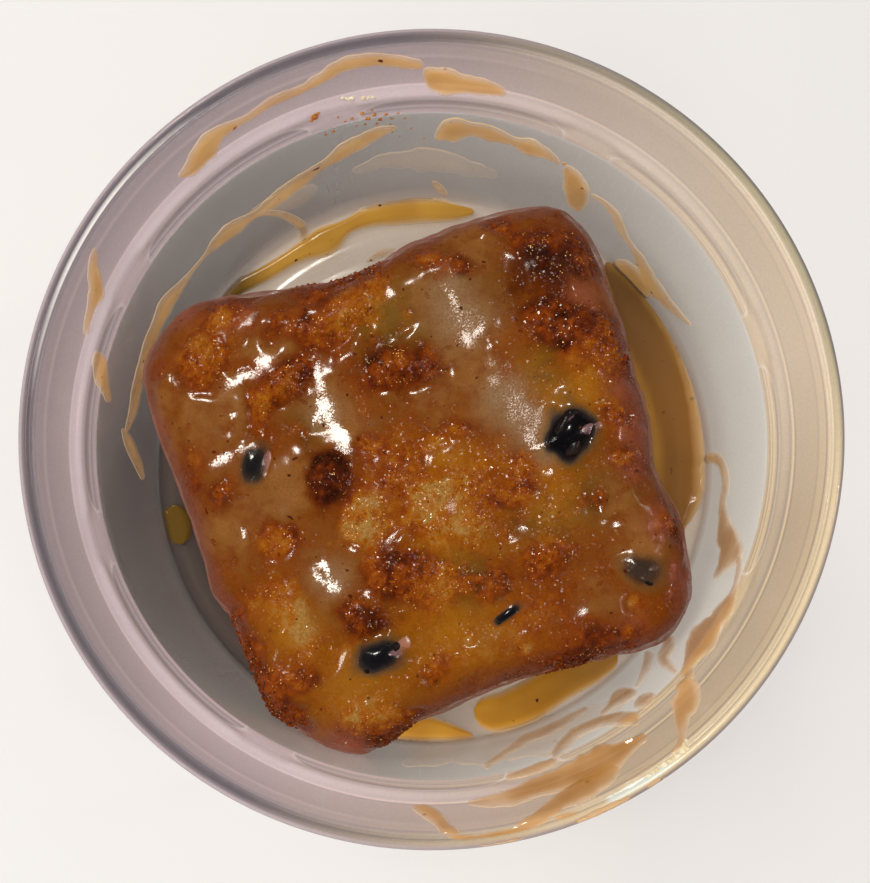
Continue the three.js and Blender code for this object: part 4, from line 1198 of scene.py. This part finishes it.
def pudding_relief(points, normal, down, spacing):
    """Heights of crust, of glaze and of what lies under the glaze over the plain surface, how
    dark the crust is baked, with painted shade in its small hollows, how bare it lies and how
    dark raisins show."""
    x, y = points[..., 0], points[..., 1]
    on_top = 1 - smoothstep(0.0, 0.4, down)
    knobs = knob_relief(x, y) * on_top * np.clip(normal[..., 2] + 0.25, 0, 1)
    lumps = uneven(points, (0.42, 6.0, 3), (0.22, 2.8, 5))
    side_lumps = uneven(points, (0.5, 3.2, 8), (0.4, 1.5, 9)) - 0.45
    body = knobs + lumps * on_top + side_lumps * (1 - on_top)
    steep = smoothstep(0.92, 0.6, normal[..., 2])
    direction = bearing(x - CENTRE[0], y - CENTRE[1])
    edge_gap = sum(swell(direction, at, width) for at, width in BARE_EDGES) * steep
    bare = sum(p[6] * patch(x, y, *p[:5]) for p in PATCHES) * np.clip(on_top * 1.5, 0, 1)
    ragged = bare + 0.9 * edge_gap + uneven(points, (0.34, 2.8, 13), (0.24, 1.3, 15), (0.16, 0.6, 16))
    open_crust = np.maximum(smoothstep(0.15, 0.9, ragged), 1 - on_top)
    grain = 0.22 * pebbles(points, 0.8, 11) + 0.14 * noise(points, 0.6, 17)
    crust = body + open_crust * (0.1 + grain) + (1 - open_crust) * 0.3 * grain

    lip = np.exp(-((ragged - 0.05) / 0.16) ** 2)
    thin = np.clip(sum(patch(x, y, *zone) for zone in THIN_GLAZE), 0, 1)
    film = 0.6 + 0.5 * zone_share(x, y, GLAZE_ZONES["milk"]) + 0.26 * lip - 0.42 * thin
    film = film + uneven(points, (0.15, 7, 21), (0.12, 3, 23)) - 1.3 * smoothstep(-0.1, 1.0, ragged)
    flat = np.stack([x, y, 0 * x], -1)
    drip = 0.34 + uneven(flat, (0.3, 6, 27), (0.1, 2, 28)) - 0.4 * edge_gap
    runs_out = smoothstep(drip - 0.08, drip + 0.2, down)
    glaze = smoothed(body, 2.0 / spacing) + smoothed(film, 0.5 / spacing)
    coat = smoothed(crust, 0.35 / spacing) + 0.04 + 0.1 * noise(points, 3, 29)
    coat = coat - 0.34 * smoothstep(0.7, 1.1, ragged)
    glaze = softly_over(glaze, coat, 0.16) - 2.2 * runs_out
    glaze, skin, shadow = over_raisins(x, y, glaze)
    under = np.maximum(crust, np.where(on_top > 0.9, skin, FAR_BELOW))

    spread = [patch(x, y, p[0], p[1], 1.4 * p[2], 1.4 * p[3], p[4]) for p in PATCHES]
    plain = 0.4 - 0.2 * zone_share(x, y, GLAZE_ZONES["gold"])
    baked = (sum(p[5] * w for p, w in zip(PATCHES, spread)) + 0.25 * plain) / (sum(spread) + 0.25)
    baked = baked + uneven(points, (0.16, 6, 35), (0.14, 2.2, 33), (0.13, 0.9, 37), (0.1, 0.5, 38))
    baked = baked + 0.1 * np.exp(-((ragged - 0.2) / 0.25) ** 2)
    baked = baked + steep * (0.72 - baked) * 0.8
    # Painted shade: the crust is darker in its small hollows.
    baked = baked - 0.9 * (crust - smoothed(crust, 0.5 / spacing))
    return {"crust": crust, "glaze": glaze, "under": under, "baked": np.clip(baked, 0, 1),
            "open": np.clip(open_crust, 0, 1), "raisin": shadow}


def make_pudding(finish, grain_finish):
    """The baked body with its grains."""
    points, normal, down, spacing = wrapped_grid(*CRUST_GRID)
    relief = pudding_relief(points, normal, down, spacing)
    size = len(points)
    surface = points + normal * relief["crust"][..., None]
    surface[..., 2] = np.maximum(surface[..., 2], BASE)
    surface = surface.reshape(-1, 3)
    underside = [[here, there, len(surface)] for here, there in border(size, size)]
    pudding = new_piece("pudding_crust", np.vstack([surface, (*CENTRE, BASE)]),
                        grid_faces(size, size) + underside, finish,
                        {"baked": np.append(relief["baked"].ravel(), 1.0)})
    facing_out(pudding)
    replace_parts(pudding, "pudding")
    make_grains(surface, relief, down, grain_finish)


def make_grains(surface, relief, down, finish):
    """Wet grains of crust stuck where it lies bare."""
    draw = np.random.default_rng(7)
    likely = np.where(relief["crust"] > relief["glaze"] - 0.25, relief["open"], 0) * (down < 0.75)
    likely = (likely * np.where(down > 0.1, 0.35, 1)).ravel()
    chosen = draw.choice(likely.size, GRAINS, replace=False, p=likely / likely.sum())
    ball, triangles = unit_ball(1)
    radius = draw.uniform(0.12, 0.26, GRAINS) * draw.uniform(0.8, 1.25, GRAINS)
    stretch = draw.uniform(0.65, 1.2, (GRAINS, 1, 3)) * radius[:, None, None]
    rough = draw.uniform(0.8, 1.15, (GRAINS, len(ball), 1))
    spot = surface[chosen] + draw.uniform(-0.12, 0.12, (GRAINS, 3))
    grains = ball[None] * rough * stretch + spot[:, None]
    tone = np.clip(relief["baked"].ravel()[chosen] + draw.uniform(-0.09, 0.09, GRAINS), 0, 1)
    piece = new_piece("crust_grains", grains.reshape(-1, 3), repeated(triangles, ball, GRAINS), finish,
                      {"baked": np.repeat(tone, len(ball))}, smooth=False)


def make_glaze(finish):
    """Glaze poured over the top and running down the sides, open where crust stands out."""
    points, normal, down, spacing = wrapped_grid(*GLAZE_GRID, reach=0.8)
    relief = pudding_relief(points, normal, down, spacing)
    glaze = relief["glaze"]
    upper = points + normal * glaze[..., None]
    lower = points + normal * (np.minimum(glaze, relief["crust"]) - 0.5)[..., None]
    x, y = points[..., 0], points[..., 1]
    varied = 0.8 + uneven(points, (0.3, 4, 51), (0.2, 1.5, 52))
    # The `pale` zone holds a painted highlight and the `rosy` zone a painted reflection.
    values = {label: zone_share(x, y, zones) * varied for label, zones in GLAZE_ZONES.items()}
    values["rosy"] *= 0.7
    # Painted shade: `edge` darkens the glaze on its steep rim.
    values["edge"] = (0.7 + 0.3 * noise(points, 5, 53)) * smoothstep(0.9, 0.5, normal[..., 2])
    values["raisin"] = relief["raisin"]
    values["sheen"], values["sugar"] = sheen_shares(points)
    values = {label: np.tile(np.clip(share, 0, 1).ravel(), 2) for label, share in values.items()}
    values["film"] = np.tile(np.clip(glaze - relief["under"], 0, 3).ravel(), 2)
    shell = np.vstack([upper.reshape(-1, 3), lower.reshape(-1, 3)])
    values["square_to_lamp"] = square_to_lamp(shell)
    piece = new_piece("caramel_glaze", shell, shell_faces(len(upper), len(upper)), finish, values)
    facing_out(piece)


def crust_height(x, y):
    """Height of the top at one place, as the solids have it."""
    dx, dy = x - CENTRE[0], y - CENTRE[1]
    return float(plain_top(math.hypot(dx, dy) / outline_radius(bearing(dx, dy))) + knob_relief(x, y))


def make_raisin(name, material, x, y, long, wide, thick, turn, lift):
    """A shrivelled raisin with deep lengthwise wrinkles."""
    rows, columns = 48, 64
    polar, around = np.meshgrid(np.linspace(0.0, math.pi, rows),
                                np.arange(columns) / columns * 2 * math.pi, indexing="ij")
    seed = sum(map(ord, name))
    shape = np.stack([np.cos(polar), np.sin(polar) * np.cos(around), np.sin(polar) * np.sin(around)], -1)
    shape = np.sign(shape) * abs(shape) ** RAISIN_BLUNTNESS
    wrinkle = 0.08 * np.sin(5 * around + 1.3 * polar + seed) * np.sin(polar)
    wrinkle = wrinkle + 0.2 * noise(shape * 1.6 + seed, 1.0, seed)
    wrinkle = wrinkle - 0.1 * abs(noise(shape * 4, 1.0, seed)) - 0.06
    points = shape * (1 + wrinkle[..., None]) * (long, wide, thick)
    spin = np.array(Euler((0, 0, math.radians(turn))).to_matrix())
    points = points @ spin.T + (x, y, crust_height(x, y) + lift)
    raisin = new_piece(name + "_skin", points.reshape(-1, 3), grid_faces(rows, columns, closed=True),
                       material)
    facing_out(raisin, weld=0.005)
    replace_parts(raisin, name)


def course_steps(course):
    track = np.diff(np.array(course, float)[:, :2], axis=0)
    return max(10, int(np.linalg.norm(track, axis=1).sum() / 2.5))


def course_grid(course, steps, ripple):
    """Image places (steps, ACROSS, 2) of a strip that follows a course with round ends and
    rippled sides, places across it from -1 to 1, and how wide its round ends let it be."""
    line = spline(course, steps)
    centre, half = line[:, :2], np.maximum(line[:, 2], 0.3)
    heading = unit(np.gradient(centre, axis=0))
    sideways = np.stack([-heading[:, 1], heading[:, 0]], -1)
    travelled = np.append(0, np.cumsum(np.linalg.norm(np.diff(centre, axis=0), axis=1)))
    to_end = np.minimum(travelled, travelled[-1] - travelled)
    blunt = np.sqrt(np.clip(1 - (1 - np.clip(to_end / np.maximum(half, 1), 0, 1)) ** 2, 0.0009, 1))
    offset = np.linspace(-1, 1, ACROSS)
    track = np.stack([travelled, 0 * travelled, 0 * travelled + centre[0, 0]], -1)
    reach = [1 + ripple * uneven(track, (1, 24, seed), (0.9, 10, seed + 1), (0.4, 5, seed + 2))
             for seed in (41, 43)]
    stretch = np.where(offset < 0, reach[0][:, None], reach[1][:, None])
    across = (half * blunt)[:, None] * stretch * offset
    return centre[:, None] + sideways[:, None] * across[..., None], offset, blunt


def sauce_values(top, under, depth, offset):
    """Depth of sauce, its pale outline, and where it lies square to the lamp."""
    outline = np.tile(smoothstep(0.72, 0.98, abs(offset)), len(top) // ACROSS)
    glint = smoothstep(0.45, 0.75, noise(top * (1, 1, 0), 2.6, 81)) * (1 - outline)
    return {"depth": np.append(depth, depth), "outline": np.append(outline, outline),
            "sheen": np.append(glint, 0 * glint), "square_to_lamp": square_to_lamp(np.vstack([top, under]))}


def make_sauce(name, material, top, under, values):
    """A closed piece of sauce between its top and its underside."""
    faces = shell_faces(len(top) // ACROSS, ACROSS)
    piece = new_piece(name, np.vstack([top, under]), faces, material, values)
    facing_out(piece)
    return piece


def make_pool(name, material, level, course):
    """A pool on the tub's floor: level on top, rounded at its edge, down to the plastic."""
    steps = course_steps(course)
    places, offset, _ = course_grid(course, steps, 0.03)
    top = on_level(places.reshape(-1, 2), level)
    limit = WALL_FOOT[0] - 0.02
    top[:, :2] *= np.minimum(1, limit / np.hypot(top[:, 0], top[:, 1]))[:, None]
    bed = floor_height(np.hypot(top[:, 0], top[:, 1]))
    edge = np.minimum(1.2 * np.sqrt(np.clip(1 - offset ** 2, 0, 1)), 1)
    surface = np.maximum(level, bed + 0.12)
    top[:, 2] = bed + (surface - bed) * (0.15 + 0.85 * np.tile(edge, steps))
    under = np.column_stack([top[:, :2], bed - 0.1])
    values = sauce_values(top, under, np.clip(top[:, 2] - bed, 0, 5), offset)
    values["sheen"] *= 0.0
    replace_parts(make_sauce(name + "_pool", material, top, under, values), name)


def make_smear(name, material, course, thin=1.0):
    """A thin run of sauce stuck to the tub's inside; `thin` scales how dense it looks."""
    steps = course_steps(course)
    places, offset, blunt = course_grid(course, steps, 0.16)
    bed = on_tub(places.reshape(-1, 2))
    normal = tub_normals(bed)
    half = np.interp(np.linspace(0, 1, steps), np.linspace(0, 1, len(course)),
                     [point[2] for point in course])
    crown = (0.12 + 0.026 * half * blunt) * min(1.0, 3 * thin) * blunt
    lift = (0.05 + crown[:, None] * (1 - offset ** 2) ** 0.7).ravel()
    top = bed + normal * lift[:, None]
    under = bed - normal * 0.08
    values = sauce_values(top, under, np.minimum(0.05 + 2.4 * lift ** 2, 0.6) * thin, offset)
    values["sheen"] *= np.tile((normal[:, 2] > 0.5) & (bed[:, 1] < 0), 2)
    values["outline"] *= min(1.0, 3 * thin)
    make_sauce(name, material, top, under, values)


def froth_places():
    """Image places and radii of the bubbles, densest along the middle of each band."""
    draw = np.random.default_rng(11)
    places = []
    for from_x, from_y, to_x, to_y, half, number in FROTH:
        share = draw.uniform(0, 1, number)
        aside = draw.normal(0, 0.45, (number, 2)) * half
        size = draw.uniform(*BUBBLE_SIZES, number) * draw.uniform(0.6, 1, number)
        x, y = from_x + share * (to_x - from_x), from_y + share * (to_y - from_y)
        places += np.stack([x + aside[:, 0], y + aside[:, 1], size], -1).tolist()
    return places


def make_beads(name, material, places, shape, bumpiness, roundness=3):
    """Small rounded lumps stuck to the plastic, joined in one piece; `shape` is their size
    along the rim, across it and out of it."""
    ball, triangles = unit_ball(roundness)
    lumps = []
    beds = on_tub(np.array([place[:2] for place in places], float))
    for k, (bed, normal, place) in enumerate(zip(beds, tub_normals(beds), places)):
        size = place[2] / BEAD_PIXELS
        along = unit(np.array([-bed[1], bed[0], 0]))
        axes = np.stack([along, np.cross(normal, along), normal])
        rough = 1 + bumpiness * noise(ball * 1.7 + 7 * k, 1.0, k)
        lumps.append((ball * rough[:, None] * size * shape) @ axes + bed + normal * size * 0.3)
    vertices = np.vstack(lumps)
    # A strong outline makes drips of sauce pale and gives them the sauce's painted glow, lightening their
    # shaded outer sides.
    values = {"depth": np.full(len(vertices), 0.25), "outline": np.full(len(vertices), 0.7)}
    beads = new_piece(name, vertices, repeated(triangles, ball, len(lumps)), material, values)


# ---- surroundings -----------------------------------------------------------------------

def make_floor():
    mesh = bpy.data.meshes.new("table")
    half = 3.0
    corners = [(-half, -half, 0), (half, -half, 0), (half, half, 0), (-half, half, 0)]
    mesh.from_pydata(corners, [], [(0, 1, 2, 3)])
    material, graph, shader = new_material("pale table")
    mottle = graph.use(MOTTLE, Scale=3.0)
    shade = graph.ramp(mottle["Coarse"], (0.0, (0.86, 0.86, 0.86, 1)), (1.0, (0.89, 0.89, 0.89, 1)))
    graph.feed(shader, {"Base Color": dimmed_in_gloss(graph, shade, 0.75), "Roughness": 0.7})
    mesh.materials.append(material)
    floor = bpy.data.objects.new("table", mesh)
    bpy.context.scene.collection.objects.link(floor)


def add_light(name, place, size, power, tint, in_gloss=True, on_matt=True):
    data = bpy.data.lights.new(name, "AREA")
    data.shape = "ELLIPSE"
    data.size, data.size_y = size
    data.energy = power
    data.color = tint
    light = bpy.data.objects.new(name, data)
    light.location = place
    aim = Vector(LIT_PLACE) - Vector(place)
    light.rotation_euler = aim.to_track_quat("-Z", "Y").to_euler()
    light.visible_glossy = in_gloss
    light.visible_diffuse = on_matt
    bpy.context.scene.collection.objects.link(light)


def make_studio():
    scene = bpy.context.scene
    world = bpy.data.worlds.new("studio")
    scene.world = world
    world.use_nodes = True
    graph = Graph(world.node_tree)
    in_gloss = graph.add("LightPath").outputs["Is Glossy Ray"]
    room = graph.mix(in_gloss, (0.24, 0.24, 0.25, 1), (0.035, 0.03, 0.03, 1))
    graph.feed(world.node_tree.nodes["Background"], {"Color": room})
    add_light("soft overhead", (0, 0, 0.9), (0.8, 0.8), 3.4, (1.0, 0.97, 0.95), in_gloss=False)
    add_light("soft left", (-0.45, 0.1, 0.65), (0.5, 0.5), 1.6, (1.0, 0.94, 0.84), in_gloss=False)
    add_light("soft front", (-0.25, -0.5, 0.6), (0.4, 0.4), 1.2, (1.0, 0.95, 0.88), in_gloss=False)
    add_light("lamp", LAMP_PLACE, (0.13, 0.1), 1.5, (1.0, 0.95, 0.86), on_matt=False)
    add_light("lamp glow", LAMP_PLACE, (0.3, 0.3), 0.8, (1.0, 0.92, 0.8), in_gloss=False)
    add_light("right window", (0.5, -0.02, 0.5), (0.05, 0.05), 0.2, (1.0, 0.93, 0.84))
    add_light("rosy wall", (0.46, 0.03, 0.34), (0.22, 0.24), 0.55, (1.0, 0.5, 0.5), on_matt=False)
    scene.view_settings.view_transform = "Standard"
    camera = bpy.data.cameras.new("camera")
    camera.sensor_width = SENSOR
    camera.lens = LENS
    camera.clip_start = 0.01
    view = bpy.data.objects.new("camera", camera)
    view.location = Vector(CAMERA_PLACE) * MM
    view.rotation_euler = (math.radians(CAMERA_TILT), 0, 0)
    scene.collection.objects.link(view)
    scene.camera = view


# ---- assembly ---------------------------------------------------------------------------

make_studio()
make_floor()
make_tub(tub_material())
make_pudding(crust_material(), grain_material())
make_glaze(glaze_material())
raisin_skin = raisin_material()
for raisin_name, raisin in RAISINS.items():
    make_raisin(raisin_name, raisin_skin, *raisin)
sauce = sauce_material()
for pool_name, (pool_level, pool_course) in POOLS.items():
    make_pool(pool_name, sauce, pool_level, pool_course)
for smear_name, smear_course in SMEARS.items():
    make_smear(smear_name, sauce, smear_course)
for veil_name, veil_course in VEILS.items():
    make_smear(veil_name, sauce, veil_course, thin=0.2)
make_beads("rim_drips", sauce, DRIPS, (2.0, 0.9, 0.5), 0.15)
make_beads("rim_froth", froth_material(), froth_places(), (1, 1, 0.8), 0.08, 2)
make_beads("loose_crumbs", crumb_material(), CRUMBS, (1.0, 0.85, 0.7), 0.3)
